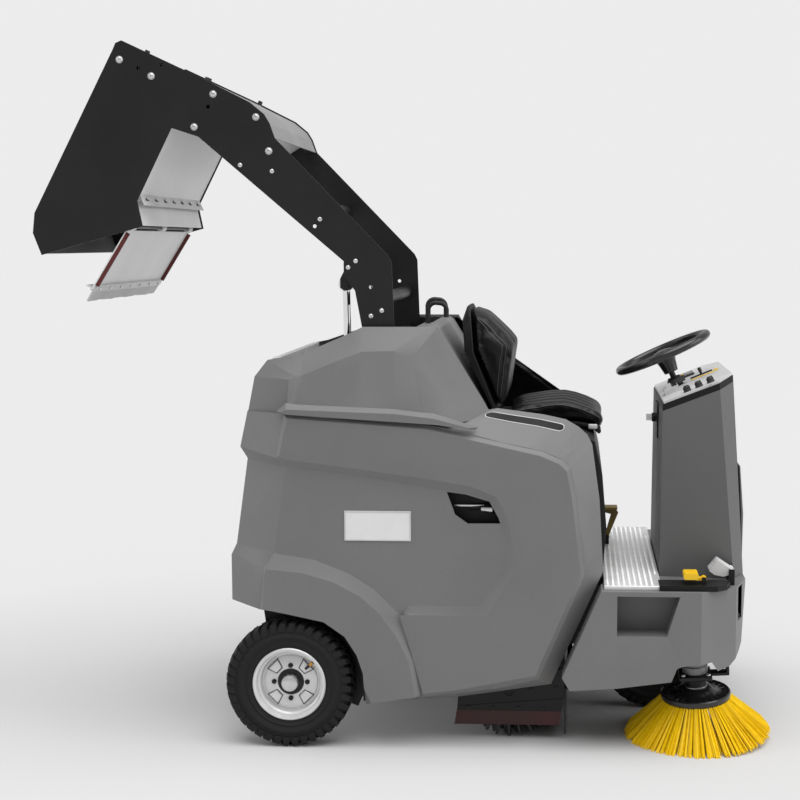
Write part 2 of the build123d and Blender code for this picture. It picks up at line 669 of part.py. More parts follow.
def arc_sheet(x, z, radius, thick, start, end, y0, y1):
    """Bent sheet about a cross axis, between two angles in degrees."""
    outline = []
    for r, first, last in ((radius, start, end), (radius + thick, end, start)):
        a = (x + r * math.cos(math.radians(first)), y0, z + r * math.sin(math.radians(first)))
        mid = math.radians((first + last) / 2)
        b = (x + r * math.cos(mid), y0, z + r * math.sin(mid))
        c = (x + r * math.cos(math.radians(last)), y0, z + r * math.sin(math.radians(last)))
        outline.append((a, b, c))
    inner, outer = outline
    edges = [ThreePointArc(*inner), Line(inner[2], outer[0]), ThreePointArc(*outer), Line(outer[2], inner[0])]
    return extrude(make_face(Wire(edges)), amount=y1 - y0, dir=(0, 1, 0))


hood = arc_sheet(ROLLER_X, ROLLER_Z, 188, 4, 8, 112, -400, 400)

# side seals of the brush tunnel: steel holder, rubber lip and a lift bar
holder = slab([(524, 110), (868, 140), (868, 330), (540, 330)], 400, PLATE_IN)
holder -= rod_y(ROLLER_X, ROLLER_Z, 16 + RUN, 398, 410)
holder += slab([(690, 196), (700, 188), (960, 250), (960, 262)], PLATE_IN, PLATE_IN + 8)
for x, z in [(560, 150), (640, 156), (760, 165), (840, 172)]:
    holder += rod_y(x, z, 7, PLATE_IN, PLATE_IN + 4)
save("roller_tunnel", hood + holder + left(holder))
lip = slab([(514, 50), (850, 50), (866, 139.8), (524.5, 109.9)], 401, 405)
save("seal_lips", Compound([lip, left(lip)]))

front_flap = slab([(866, 18), (872, 18), (872, 158), (893, 180), (893, 205), (885, 205), (885, 184), (866, 164)],
                  -396, 396)
save("front_dirt_flap", front_flap)

# ---------------------------------------------------------------- side broom
arm_tube = Pos(BROOM_X, ARM_PIN_Y, ARM_PIN_Z) * Rot(0, 90, 0) * Cylinder(20, 78)
arm_tube += box(BROOM_X - 20, BROOM_X + 20, -300, ARM_PIN_Y - 5, 312, 334)
arm_tube += Pos(BROOM_X, BROOM_Y, 322) * Cylinder(52, 24)
arm_tube -= Pos(BROOM_X, ARM_PIN_Y, ARM_PIN_Z) * Rot(0, 90, 0) * Cylinder(10 + RUN, 100)
TILT = Rot(BROOM_TILT, -3, 0)
broom_hub = Pos(BROOM_X, BROOM_Y, 140) * TILT


def on_broom(up, shape):
    """Place a shape on the broom's leaning spindle."""
    return broom_hub * Pos(0, 0, up) * shape


arm_tube -= on_broom(182, Cylinder(41.5, 40))
save("broom_arm", arm_tube)
motor = on_broom(125, Cylinder(41.5, 96)) + on_broom(66, Cylinder(58, 22))
motor += on_broom(45, Cylinder(14, 44))
save("broom_motor", motor)

disc = on_broom(0, Cylinder(112, 22)) + on_broom(18, Cylinder(62, 20))
disc -= on_broom(20, Cylinder(14 + RUN, 70))
save("broom_disc", disc)

outer_cone = on_broom(-71, Cone(BROOM_R, 112, 120))
inner_cone = on_broom(-76, Cone(BROOM_R - 60, 60, 130))
bristles = outer_cone - inner_cone
save("broom_bristles", bristles)

# ---------------------------------------------------------------- hopper
FLAP_PIN = (-512.0, 1640.0)
FLAP_LONG = 274.0
FLAP_LEAN = 238.0     # degrees from +x, hanging half open
ARM_OUTLINE = [
    (-519, 2215), (-270, 2099), (-120, 2024), (-75, 1987), (-58, 1959), (-42, 1913), (61, 1810),
    (311, 1548), (321, 1527), (328, 1330), (328, 1262), (306, 1228), (264, 1228), (242, 1262),
    (225, 1330), (205, 1439), (170, 1485), (170, 1531), (-212, 1857), (-283, 1918), (-367, 1945),
    (-481, 1719), (-465, 1640), (-791, 1550), (-817, 1619), (-810, 1682), (-547, 2187),
    (-538, 2207),
]
INNER_Y = ARM_Y - ARM_T
plate = slab(ARM_OUTLINE, INNER_Y, ARM_Y)
plate -= rod_y(PIVOT_X, PIVOT_Z, SHAFT_R + RUN, ARM_Y - 20, ARM_Y + 20)
HOLES = [(-468, 2130), (-395, 2140), (-250, 2010), (80, 1640), (255, 1450)]
for x, z in HOLES:
    plate -= rod_y(x, z, 6, ARM_Y - 20, ARM_Y + 20)

# clevis on the arm for the lift ram
lug_line = [(147, 1446), (160, 1436), (176, 1438), (218, 1478), (218, 1540), (176, 1532), (147, 1474)]
lug = slab(lug_line, RAM_Y - 26, RAM_Y - 14) + slab(lug_line, RAM_Y + 14, RAM_Y + 26)
lug += slab([(196, 1490), (218, 1490), (218, 1538), (196, 1534)], RAM_Y - 26, INNER_Y)
# the pin is cut back to two stubs beside the rod eye: this pivot is the open one of the lift linkage
for y0, y1 in ((RAM_Y - 30, RAM_Y - 13), (RAM_Y + 13, RAM_Y + 32)):
    lug += rod_y(EYE_UP[0], EYE_UP[1], 12, y0, y1)

arms = plate + lug
arms += left(arms)
for x, z, radius in [(278, 1410, 22), (60, 1700, 22), (FLAP_PIN[0], FLAP_PIN[1], 7)]:
    arms += rod_y(x, z, radius, -INNER_Y, INNER_Y)
save("hopper_arms", arms)

SHEET = 4.0


def bent(points, thick, y0, y1):
    """Sheet folded along a side-view line, thickened to its right-hand side."""
    back = []
    for i, here in enumerate(points):
        before = points[max(i - 1, 0)]
        after = points[min(i + 1, len(points) - 1)]
        first = math.atan2(here[1] - before[1], here[0] - before[0]) if i else None
        second = math.atan2(after[1] - here[1], after[0] - here[0]) if i < len(points) - 1 else None
        first = second if first is None else first
        second = first if second is None else second
        bend = (second - first + math.pi) % (2 * math.pi) - math.pi
        middle = first + bend / 2 - math.pi / 2
        reach = thick / math.cos(bend / 2)
        back.append((here[0] + reach * math.cos(middle), here[1] + reach * math.sin(middle)))
    return slab(points + back[::-1], y0, y1)


TUB_LINE = [
    (-787, 1553), (-811, 1620), (-804, 1681), (-542, 2184), (-519, 2209), (-272, 2094),
    (-122, 2019), (-78, 1983), (-62, 1957), (-46, 1914),
]
save("hopper_tub", bent(TUB_LINE, SHEET, -INNER_Y, INNER_Y))

tub_roof = bent([(-75, 1950), (-208, 1866), (-281, 1924), (-369, 1950), (-487, 1719), (-471, 1643)],
                SHEET, -INNER_Y, INNER_Y)
save("hopper_roof_panel", tub_roof)


# hopper flap, hinged at the upper lip of the mouth
def on_flap(along, out, y0, y1, length, thick):
    """Strip lying on the flap, from a start distance and a stand-off."""
    strip = Pos(along + length / 2, (y0 + y1) / 2, out + thick / 2) * Box(length, y1 - y0, thick)
    return Pos(FLAP_PIN[0], 0, FLAP_PIN[1]) * Rot(0, -FLAP_LEAN, 0) * strip


flap = on_flap(0, -2, -389, 389, FLAP_LONG - 40, 4)
for y in (-380, -20, 340):
    flap += rod_y(FLAP_PIN[0], FLAP_PIN[1], 13, y, y + 40)
flap += on_flap(FLAP_LONG - 44, -22, -389, 389, 4, 20)
flap -= rod_y(FLAP_PIN[0], FLAP_PIN[1], 7 + RUN, -400, 400)
for y0, y1 in ((-400, -380), (-340, -20), (20, 340), (380, 400)):
    flap -= on_flap(-14, -14, y0, y1, 28, 28)
save("flap_sheet", flap)
save("flap_lip", on_flap(FLAP_LONG - 56, 2, -389, 389, 56, 5))
seals = [on_flap(20, 2, y, y + 8, FLAP_LONG - 78, 12) for y in (-389, 381)]
save("flap_side_seals", Compound(seals))

# ---------------------------------------------------------------- lift rams
def on_ram(distance, radius, length):
    """Round length of the ram, centred on its line above the base eye."""
    place = Pos(BASE[0], RAM_Y, BASE[1]) * Rot(0, RAM_LEAN, 0)
    return place * Pos(0, 0, distance + length / 2) * Cylinder(radius, length)


barrel = on_ram(26, 30, 444) + rod_y(BASE[0], BASE[1], 30, RAM_Y - 12, RAM_Y + 12)
barrel -= on_ram(38, 22, 414)
barrel -= on_ram(440, 12 + RUN, 40)
barrel -= rod_y(BASE[0], BASE[1], 12 + RUN, RAM_Y - 20, RAM_Y + 20)
save("ram_barrels", Compound([barrel, left(barrel)]))

top_reach = SHUT + STROKE
ram_rod = on_ram(top_reach - 478, 12, 462) + on_ram(top_reach - 478, 22 - RUN, 26)
ram_rod += rod_y(EYE_UP[0], EYE_UP[1], 24, RAM_Y - 11, RAM_Y + 11)
ram_rod -= rod_y(EYE_UP[0], EYE_UP[1], 13, RAM_Y - 20, RAM_Y + 20)
save("ram_rods", Compound([ram_rod, left(ram_rod)]))

# ---------------------------------------------------------------- small parts
ARM_BOLTS = [
    (-526, 2156), (-427, 2105), (-233, 2049), (-100, 1978), (-295, 1948), (-61, 1873),
    (-152, 1830), (-52, 1811), (97, 1662), (208, 1532), (184, 1512), (289, 1377), (255, 1360),
]
heads = screws(ARM_BOLTS, 9, ARM_Y, ARM_Y + 4)
save("arm_bolts", Compound([heads, left(heads)]))

HOSE_R = 8.0


def hose(x, y, drop):
    """Held loop of hose standing on the rear deck."""
    line = FilletPolyline((x, y, 1300), (x, y, 1388 - drop), (x + 66, y, 1382 - drop),
                          (x + 66, y, 1322), radius=26)
    return sweep(Plane(line @ 0, z_dir=line % 0) * Circle(HOSE_R), path=line)


save("lift_hoses", Compound([hose(362, 350, 0), hose(368, 318, 12)]))
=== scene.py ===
import json
import math
import random

import bmesh
import bpy
from mathutils import Matrix, Vector
from mathutils.bvhtree import BVHTree

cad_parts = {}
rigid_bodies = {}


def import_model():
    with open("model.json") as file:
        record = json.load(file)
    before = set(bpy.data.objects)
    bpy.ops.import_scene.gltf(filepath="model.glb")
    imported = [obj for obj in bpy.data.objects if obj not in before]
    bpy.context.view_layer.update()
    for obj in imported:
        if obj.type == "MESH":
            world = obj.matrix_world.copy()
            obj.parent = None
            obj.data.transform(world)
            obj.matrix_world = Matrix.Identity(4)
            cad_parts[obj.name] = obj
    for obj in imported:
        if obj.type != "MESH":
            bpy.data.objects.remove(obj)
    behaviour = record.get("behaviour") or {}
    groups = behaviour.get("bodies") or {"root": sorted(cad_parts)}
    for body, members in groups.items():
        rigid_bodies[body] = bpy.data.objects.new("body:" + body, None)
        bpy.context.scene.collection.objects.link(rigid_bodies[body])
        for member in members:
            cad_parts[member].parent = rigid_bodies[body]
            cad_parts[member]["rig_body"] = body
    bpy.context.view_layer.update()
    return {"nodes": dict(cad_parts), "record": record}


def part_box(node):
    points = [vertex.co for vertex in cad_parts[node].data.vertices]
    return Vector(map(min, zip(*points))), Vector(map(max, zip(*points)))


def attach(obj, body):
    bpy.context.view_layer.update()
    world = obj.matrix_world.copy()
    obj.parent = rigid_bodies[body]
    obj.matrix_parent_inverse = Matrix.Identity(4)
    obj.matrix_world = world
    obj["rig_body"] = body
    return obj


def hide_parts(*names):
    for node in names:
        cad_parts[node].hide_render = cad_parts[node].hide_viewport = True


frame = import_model()
nodes = frame["nodes"]

# part.py moves the machine by this much so that its box is centred
SHIFT = Vector((-0.3535, 0.026, 0.0))


def at(x, y, z):
    """A point given in millimetres from the rear axle, as the row frame's metres."""
    return Vector((x, y, z)) / 1000 + SHIFT


# ------------------------------------------------------------------ camera
lens = bpy.data.cameras.new("camera")
lens.lens = 68.94
lens.sensor_width = 36
lens.shift_x = -0.12
lens.clip_end = 900
eye = bpy.data.objects.new("camera", lens)
eye.location = at(890.6, -5187.4, 1587.8)
eye.rotation_euler = (math.radians(90 - 5.8513), 0, math.radians(2.8995))
bpy.context.scene.collection.objects.link(eye)
bpy.context.scene.camera = eye


# ------------------------------------------------------------------ finishes
def tree(name):
    """A fresh material with its node list, links and main shader."""
    mat = bpy.data.materials.new(name)
    mat.use_nodes = True
    main = mat.node_tree.nodes["Principled BSDF"]
    return mat, mat.node_tree.nodes, mat.node_tree.links, main


def add(nodes_, kind, **values):
    """One shader node with its inputs or settings filled in."""
    node = nodes_.new(kind)
    for key, value in values.items():
        if key in node.inputs:
            node.inputs[key].default_value = value
        else:
            setattr(node, key.lower(), value)
    return node


GRAIN_DEPTH = 0.0006    # height of the fine relief, metres


def finish(name, dark, light, rough=(0.5, 0.6), metal=0.0, grain=600.0, bump=0.05, patch=6.0,
           speckle=0.3, coat=0.0, shine=0.5):
    """A finish whose colour, gloss and relief all vary over the piece."""
    mat, made, links, main = tree(name)
    coords = add(made, "ShaderNodeTexCoord")
    broad = add(made, "ShaderNodeTexNoise", Scale=patch, Detail=5.0, Roughness=0.6)
    fine = add(made, "ShaderNodeTexNoise", Scale=grain, Detail=2.0, Roughness=0.7)
    for noise in (broad, fine):
        links.new(coords.outputs["Object"], noise.inputs["Vector"])
    mix = add(made, "ShaderNodeMix", data_type="FLOAT")
    mix.inputs[0].default_value = speckle
    links.new(broad.outputs["Fac"], mix.inputs[2])
    links.new(fine.outputs["Fac"], mix.inputs[3])
    ramp = add(made, "ShaderNodeValToRGB")
    for stop, position, colour in zip(ramp.color_ramp.elements, (0.32, 0.68), (dark, light)):
        stop.position = position
        stop.color = (*colour, 1)
    links.new(mix.outputs[0], ramp.inputs["Fac"])
    links.new(ramp.outputs["Color"], main.inputs["Base Color"])
    gloss = add(made, "ShaderNodeMapRange")
    for key, value in (("From Min", 0.3), ("From Max", 0.7), ("To Min", rough[0]), ("To Max", rough[1])):
        gloss.inputs[key].default_value = value
    links.new(broad.outputs["Fac"], gloss.inputs["Value"])
    links.new(gloss.outputs["Result"], main.inputs["Roughness"])
    relief = add(made, "ShaderNodeBump", Strength=bump, Distance=GRAIN_DEPTH)
    links.new(fine.outputs["Fac"], relief.inputs["Height"])
    links.new(relief.outputs["Normal"], main.inputs["Normal"])
    for key, value in (("Metallic", metal), ("Coat Weight", coat), ("Specular IOR Level", shine)):
        main.inputs[key].default_value = value
    return mat


def grey(value):
    """A neutral linear grey."""
    return (value, value, value)


moulded = finish("moulded_grey", grey(0.140), grey(0.178), rough=(0.42, 0.54), grain=420, bump=0.25,
                 patch=3, speckle=0.55)
moulded_dark = finish("moulded_dark_grey", grey(0.098), grey(0.125), rough=(0.5, 0.62), grain=420,
                      bump=0.25, patch=3, speckle=0.5)
panel_grey = finish("panel_grey", grey(0.50), grey(0.60), rough=(0.38, 0.5), grain=700, bump=0.12,
                    patch=8)
coat_black = finish("powder_black", grey(0.004), grey(0.008), rough=(0.34, 0.46), grain=900, bump=0.18,
                    patch=5, shine=0.38)
plastic_black = finish("grained_black", grey(0.003), grey(0.007), rough=(0.45, 0.6), grain=1100,
                       bump=0.3, patch=9, shine=0.28)
frame_black = finish("frame_paint", grey(0.003), grey(0.008), rough=(0.4, 0.55), grain=500, bump=0.15,
                     patch=7, shine=0.3)
tub_paint = finish("tub_paint", grey(0.64), grey(0.75), rough=(0.38, 0.52), grain=300, bump=0.12,
                   patch=5)
zinc = finish("zinc", grey(0.55), grey(0.72), rough=(0.22, 0.36), metal=1.0, grain=500, bump=0.1,
              patch=20)
rim_paint = finish("rim_silver", grey(0.62), grey(0.76), rough=(0.3, 0.42), metal=0.35, grain=600,
                   bump=0.12, patch=14)
chrome = finish("ram_chrome", grey(0.75), grey(0.85), rough=(0.06, 0.12), metal=1.0, grain=900,
                bump=0.03, patch=10)
tyre_rubber = finish("tyre_rubber", grey(0.004), grey(0.010), rough=(0.62, 0.8), grain=500, bump=0.35,
                     patch=12, shine=0.35)
rubber = finish("rubber", grey(0.012), grey(0.022), rough=(0.6, 0.75), grain=700, bump=0.25, patch=10)
red_rubber = finish("red_rubber", (0.060, 0.006, 0.005), (0.11, 0.012, 0.009), rough=(0.5, 0.65),
                    grain=500, bump=0.2, patch=10)
vinyl = finish("vinyl", grey(0.002), grey(0.004), rough=(0.34, 0.46), grain=380, bump=0.4, patch=7,
               speckle=0.4, shine=0.3)
yellow_gloss = finish("yellow_pad", (0.78, 0.47, 0.002), (0.9, 0.58, 0.006), rough=(0.3, 0.42),
                      grain=400, bump=0.1, patch=20)
white_pad = finish("pale_pad", grey(0.55), grey(0.66), rough=(0.4, 0.5), grain=500, bump=0.15, patch=20)
ochre = finish("ochre_paint", (0.14, 0.09, 0.008), (0.26, 0.17, 0.015), rough=(0.35, 0.5), grain=400,
               bump=0.1, patch=25)
yellow_hair = finish("yellow_filament", (0.80, 0.50, 0.002), (1.0, 0.70, 0.006), rough=(0.4, 0.55),
                     grain=900, bump=0.05, patch=60, speckle=0.5, shine=0.2)
black_hair = finish("dark_filament", grey(0.015), grey(0.035), rough=(0.4, 0.6), grain=900, bump=0.05,
                    patch=60)
plate_white = finish("blank_plate", grey(0.70), grey(0.76), rough=(0.3, 0.4), grain=600, bump=0.05,
                     patch=15)
tread_metal = finish("tread_metal", grey(0.78), grey(0.92), rough=(0.3, 0.45), metal=0.55, grain=350,
                     bump=0.15, patch=15)
gloss_black = finish("gloss_black", grey(0.010), grey(0.018), rough=(0.18, 0.3), grain=900, bump=0.08,
                     patch=8, coat=0.2)
motor_grey = finish("motor_grey", grey(0.16), grey(0.24), rough=(0.35, 0.5), metal=0.4, grain=500,
                    bump=0.2, patch=20)
brass = finish("brass", (0.55, 0.26, 0.06), (0.72, 0.38, 0.10), rough=(0.25, 0.4), metal=1.0, grain=500,
               bump=0.1, patch=30)
lip_rubber = finish("lip_rubber", (0.016, 0.003, 0.003), (0.055, 0.007, 0.006), rough=(0.5, 0.65),
                    grain=500, bump=0.2, patch=5)
# painted reflection: a darker copy of the tub paint that stands in for the dark surroundings the satin tub
# sheet reflects
tub_painted_reflection = finish("tub_painted_reflection", grey(0.22), grey(0.29), rough=(0.4, 0.52), grain=300, bump=0.12,
                    patch=5)
smoked = finish("smoked_window", grey(0.02), grey(0.035), rough=(0.05, 0.12), grain=300, bump=0.02,
                patch=10, coat=0.5)
pale_rubber = finish("pale_rubber", grey(0.40), grey(0.52), rough=(0.5, 0.65), grain=500, bump=0.2,
                     patch=10)

FINISH = {
    "grey_shell": moulded, "front_grey": moulded, "black_plastic": plastic_black, "panel_grey": panel_grey,
    "black_steel": coat_black, "tub_grey": tub_paint, "chassis_black": frame_black, "silver_steel": zinc,
    "rod_chrome": chrome, "tyre": tyre_rubber, "rubber": rubber, "red_rubber": red_rubber, "vinyl": vinyl,
    "tread": tread_metal, "yellow": yellow_gloss, "yellow_bristle": yellow_hair, "black_bristle": black_hair,
    "badge": plate_white, "white_plastic": white_pad, "lever_ochre": ochre,
}
SLOT = {s["node"]: s["material_slot"] for s in frame["record"]["subparts"]}
# the hopper tub wears the darker copy of the tub paint, a painted reflection of dark surroundings
OWN_FINISH = {"console_shell": moulded_dark, "hopper_tub": tub_painted_reflection, "seal_lips": lip_rubber}


def look_of(node):
    """The finish of a CAD node: its own one, or that of its slot."""
    return OWN_FINISH.get(node, FINISH[SLOT[node]])


for name, part in nodes.items():
    part.data.materials.clear()
    part.data.materials.append(look_of(name))


# ------------------------------------------------------------------ pieces
def piece(name, bm, mat, body, smooth=40):
    """A finished mesh from a bmesh, riding on a body of the frame."""
    mesh = bpy.data.meshes.new(name)
    bm.to_mesh(mesh)
    bm.free()
    obj = bpy.data.objects.new(name, mesh)
    bpy.context.scene.collection.objects.link(obj)
    mesh.materials.append(mat)
    for face in mesh.polygons:
        face.use_smooth = True
    mesh.set_sharp_from_angle(angle=math.radians(smooth))
    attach(obj, body)
    return obj


FLAT_ANGLE = math.radians(1.5)      # facets that bend less are taken as one face
EDGE_ANGLE = 24                     # degrees; sharper edges than this are rolled over


def soften(node, width):
    """The same moulding as a CAD node, its edges rolled over."""
    bm = bmesh.new()
    bm.from_mesh(nodes[node].data)
    bmesh.ops.remove_doubles(bm, verts=bm.verts, dist=2e-5)
    bmesh.ops.dissolve_limit(bm, angle_limit=FLAT_ANGLE, verts=bm.verts, edges=bm.edges)
    obj = piece(node + "_skin", bm, look_of(node), nodes[node]["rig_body"], smooth=EDGE_ANGLE)
    roll = obj.modifiers.new("edges", "BEVEL")
    roll.width = width
    roll.segments = 3
    roll.limit_method = "ANGLE"
    roll.angle_limit = math.radians(EDGE_ANGLE)
    roll.harden_normals = True
    roll.miter_outer = "MITER_ARC"
    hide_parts(node)


for name, width in {
    "left_side_shell": 0.007, "right_side_shell": 0.007, "front_shell": 0.006, "console_shell": 0.010,
    "console_trim": 0.002, "instrument_panel": 0.003, "rear_deck": 0.005, "seat_box": 0.004,
    "hopper_arms": 0.0012, "hopper_tub": 0.001, "hopper_roof_panel": 0.001, "front_cover": 0.003,
    "pedal_bed": 0.003, "drive_pedal": 0.004, "brake_pedal": 0.002, "foot_lever": 0.002,
    "chassis_frame": 0.0015, "rear_top_frame": 0.002, "roller_tunnel": 0.0012, "key_switch": 0.001,
}.items():
    soften(name, width)


# ------------------------------------------------------------------ shaping helpers
def moved(bm, matrix):
    """The same bmesh, moved by a matrix."""
    bmesh.ops.transform(bm, matrix=matrix, verts=bm.verts)
    return bm


def spun(outline, axis="y", steps=72):
    """Closed turned solid: (radius, height) points swept about the origin's y or z line."""
    bm = bmesh.new()
    verts = [bm.verts.new((r, 0, h)) for r, h in outline]
    edges = [bm.edges.new((a, b)) for a, b in zip(verts, verts[1:] + verts[:1])]
    bmesh.ops.spin(bm, geom=verts + edges, cent=(0, 0, 0), axis=(0, 0, 1), dvec=(0, 0, 0),
                   angle=math.tau, steps=steps, use_merge=True)
    bmesh.ops.remove_doubles(bm, verts=bm.verts, dist=1e-6)
    bmesh.ops.recalc_face_normals(bm, faces=bm.faces)
    return moved(bm, Matrix.Rotation(math.radians(-90), 4, "X")) if axis == "y" else bm


def join(bm, other, matrix=None, keep=False):
    """Add another bmesh to a bmesh, moved by a matrix, and free it unless it is kept."""
    mesh = bpy.data.meshes.new("join")
    other.to_mesh(mesh)
    if matrix is not None:
        mesh.transform(matrix)
    bm.from_mesh(mesh)
    bpy.data.meshes.remove(mesh)
    if not keep:
        other.free()


def prism(points, low, high):
    """Solid with a side outline of (x, z) points, between two y values."""
    bm = bmesh.new()
    face = bm.faces.new([bm.verts.new((x, low, z)) for x, z in points])
    made_ = bmesh.ops.extrude_face_region(bm, geom=[face])
    top = [v for v in made_["geom"] if isinstance(v, bmesh.types.BMVert)]
    bmesh.ops.translate(bm, vec=(0, high - low, 0), verts=top)
    bmesh.ops.recalc_face_normals(bm, faces=bm.faces)
    return bm


def rounded(bm, width, segments=2, angle=30):
    """Roll over the edges that bend more than an angle."""
    sharp = [e for e in bm.edges if len(e.link_faces) == 2 and e.calc_face_angle(0) > math.radians(angle)]
    bmesh.ops.bevel(bm, geom=sharp, offset=width, offset_type="OFFSET", affect="EDGES", segments=segments,
                    profile=0.5, material=-1, clamp_overlap=True)
    return bm


def block(size, centre=(0, 0, 0), width=0.0, segments=2):
    """Box with rolled edges."""
    bm = bmesh.new()
    bmesh.ops.create_cube(bm, size=1)
    bmesh.ops.scale(bm, vec=size, verts=bm.verts)
    bmesh.ops.translate(bm, vec=centre, verts=bm.verts)
    return rounded(bm, width, segments) if width else bm


def round_bar(radius, length, segments=24, tip=None):
    """Upright cylinder or cone on the origin."""
    bm = bmesh.new()
    bmesh.ops.create_cone(bm, cap_ends=True, segments=segments, radius1=radius,
                          radius2=radius if tip is None else tip, depth=length)
    bmesh.ops.translate(bm, vec=(0, 0, length / 2), verts=bm.verts)
    return bm


def turn_to(direction, place=(0, 0, 0)):
    """Matrix that stands a shape's z axis along a direction, at a place."""
    return Matrix.Translation(place) @ Vector(direction).to_track_quat("Z", "Y").to_matrix().to_4x4()


# ------------------------------------------------------------------ wheels
REAR_HUB = (0, 470, 203)            # left hub, mm; the right one is its mirror image
REAR_TYRE = (0.203, 0.050, 0.1155)  # radius, half width and bead radius
FRONT_TYRE = (0.175, 0.045, 0.095)


def tread_bar(radius, half, pitch, side):
    """One shoulder lug: a bent block from the crown down over the shoulder."""
    section = [(radius, 0.003), (radius, half * 0.50), (radius * 0.965, half * 0.86),
               (radius * 0.86, half * 1.0), (radius * 0.835, half * 0.975), (radius * 0.90, half * 0.88),
               (radius - 0.012, half * 0.44), (radius - 0.012, 0.003)]
    bm = bmesh.new()
    face = bm.faces.new([bm.verts.new((r, h * side, -pitch * 0.31)) for r, h in section])
    made_ = bmesh.ops.extrude_face_region(bm, geom=[face])
    far = [v for v in made_["geom"] if isinstance(v, bmesh.types.BMVert)]
    bmesh.ops.translate(bm, vec=(0, 0, pitch * 0.62), verts=far)
    for vert in bm.verts:
        vert.co.z += 0.35 * abs(vert.co.y) - 0.012
        if vert.co.x > radius * 0.95:
            vert.co.z *= 0.9
    bmesh.ops.recalc_face_normals(bm, faces=bm.faces)
    return bm


def tyre(node, centre, size, bars, body):
    """Pneumatic tyre: ribbed side walls and staggered shoulder lugs."""
    radius, half, bead = size
    core = radius - 0.009
    wall = [(bead, half * 0.70), (bead + 0.004, half * 0.80), (bead + 0.012, half * 0.84),
            (bead + 0.016, half * 0.90), (bead + 0.019, half * 0.90), (bead + 0.022, half * 0.87),
            (radius * 0.735, half * 0.955), (radius * 0.75, half * 0.985), (radius * 0.765, half * 0.985),
            (radius * 0.775, half * 0.955), (radius * 0.86, half * 0.93), (radius * 0.91, half * 0.84),
            (core * 0.985, half * 0.60), (core, half * 0.35)]
    outline = wall + [(r, -h) for r, h in reversed(wall)]
    bm = spun(outline, steps=96)
    pitch = math.tau * radius / bars
    for side in (1, -1):
        bar = tread_bar(radius, half, pitch, side)
        for count in range(bars):
            turn = math.tau * (count + (0.5 if side < 0 else 0)) / bars
            join(bm, bar, Matrix.Rotation(turn, 4, "Y"), keep=True)
        bar.free()
    bmesh.ops.translate(bm, vec=centre, verts=bm.verts)
    obj = piece(node + "_treaded", bm, tyre_rubber, body, smooth=35)
    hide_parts(node)


def rear_rim(side):
    """Pressed rim: stepped flange, four raised pads, bolts, hub cap, valve, and black painted shade round the
    hub cap and pads.
    """
    name = "left" if side > 0 else "right"

    def on_hub(shape, stand=Matrix.Identity(4)):
        """A shape moved to this wheel's hub, its faces turned outward again."""
        hub = Matrix.Translation(at(REAR_HUB[0], REAR_HUB[1] * side, REAR_HUB[2]))
        moved(shape, hub @ Matrix.Diagonal((1, side, 1, 1)) @ stand)
        bmesh.ops.recalc_face_normals(shape, faces=shape.faces)
        return shape

    outline = [(0.0205, -0.008), (0.056, -0.008), (0.060, -0.030), (0.103, -0.036), (0.1135, -0.040),
               (0.1155, -0.034), (0.1120, -0.028), (0.1120, 0.028), (0.1155, 0.034), (0.1165, 0.040),
               (0.1135, 0.043), (0.1060, 0.040), (0.1035, 0.034), (0.1020, 0.022), (0.0960, 0.018),
               (0.0945, 0.006), (0.0910, 0.001), (0.0860, 0.001), (0.0840, 0.006), (0.0790, 0.0085),
               (0.0430, 0.0085), (0.0400, 0.006), (0.0330, 0.002), (0.0205, 0.002)]
    bm = spun(outline, steps=96)
    # black ring round the hub cap: a painted shadow, not a part of the rim
    dark = spun([(0.0275, 0.0082), (0.0415, 0.0082), (0.0405, 0.0092), (0.0275, 0.0092)], steps=64)
    for count in range(4):
        turn = math.radians(45 + 90 * count)
        # the second pass lays a thin black plate, a little wider than the pad, under each pad: painted shade
        # along the pad edges
        for high, grow, target in ((0.006, 1.0, bm), (0.0012, 1.11, dark)):
            pad = block((0.030 * grow, high, 0.034 * grow), (0.0655, 0.0085 + high / 2, 0), 0.0)
            for vert in pad.verts:
                vert.co.z *= 0.74 + (vert.co.x - 0.050) * 17
                if vert.co.y > 0.01:
                    vert.co.x = 0.0655 + (vert.co.x - 0.0655) * 0.82
                    vert.co.z *= 0.84
            rounded(pad, 0.0014 if target is bm else 0.0002, 2)
            join(target, pad, Matrix.Rotation(turn, 4, "Y"))
        nut = round_bar(0.0085, 0.006, 6)
        rounded(nut, 0.001, 1)
        spot = Matrix.Rotation(turn + math.radians(45), 4, "Y") @ Matrix.Translation((0.053, 0.0085, 0))
        join(dark, nut, spot @ Matrix.Rotation(math.radians(-90), 4, "X"))
        stud = round_bar(0.004, 0.010, 12)
        join(dark, stud, spot @ Matrix.Rotation(math.radians(-90), 4, "X"))
    rim = piece(name + "_rear_rim_pressed", on_hub(bm), rim_paint, name + "_rear_wheel", smooth=35)
    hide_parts(name + "_rear_rim")
    # black nuts and studs, together with the painted shadow ring and the painted shade outlines under the
    # pads
    nuts = piece(name + "_wheel_nuts_and_painted_shade", on_hub(dark), coat_black, name + "_rear_wheel", smooth=35)
    cap = spun([(0.0, 0.040), (0.018, 0.040), (0.0245, 0.0365), (0.0265, 0.031), (0.0265, 0.002),
                (0.0, 0.002)],
               steps=48)
    piece(name + "_hub_cap", on_hub(cap), zinc, name + "_rear_wheel", smooth=35)
    for label, radius, start, length, mat in (("valve_stem", 0.0042, 0.066, 0.018, rubber),
                                              ("valve_cap", 0.0048, 0.084, 0.014, brass),
                                              ("valve_tip", 0.0052, 0.097, 0.006, rubber)):
        stem = round_bar(radius, length, 16)
        lean = Matrix.Rotation(math.radians(-42 if side < 0 else -138), 4, "Y")
        stand = Matrix.Translation(Vector((start, 0.0205, 0))) @ Matrix.Rotation(math.radians(90), 4, "Y")
        piece(f"{name}_{label}", on_hub(stem, lean @ stand), mat, name + "_rear_wheel")


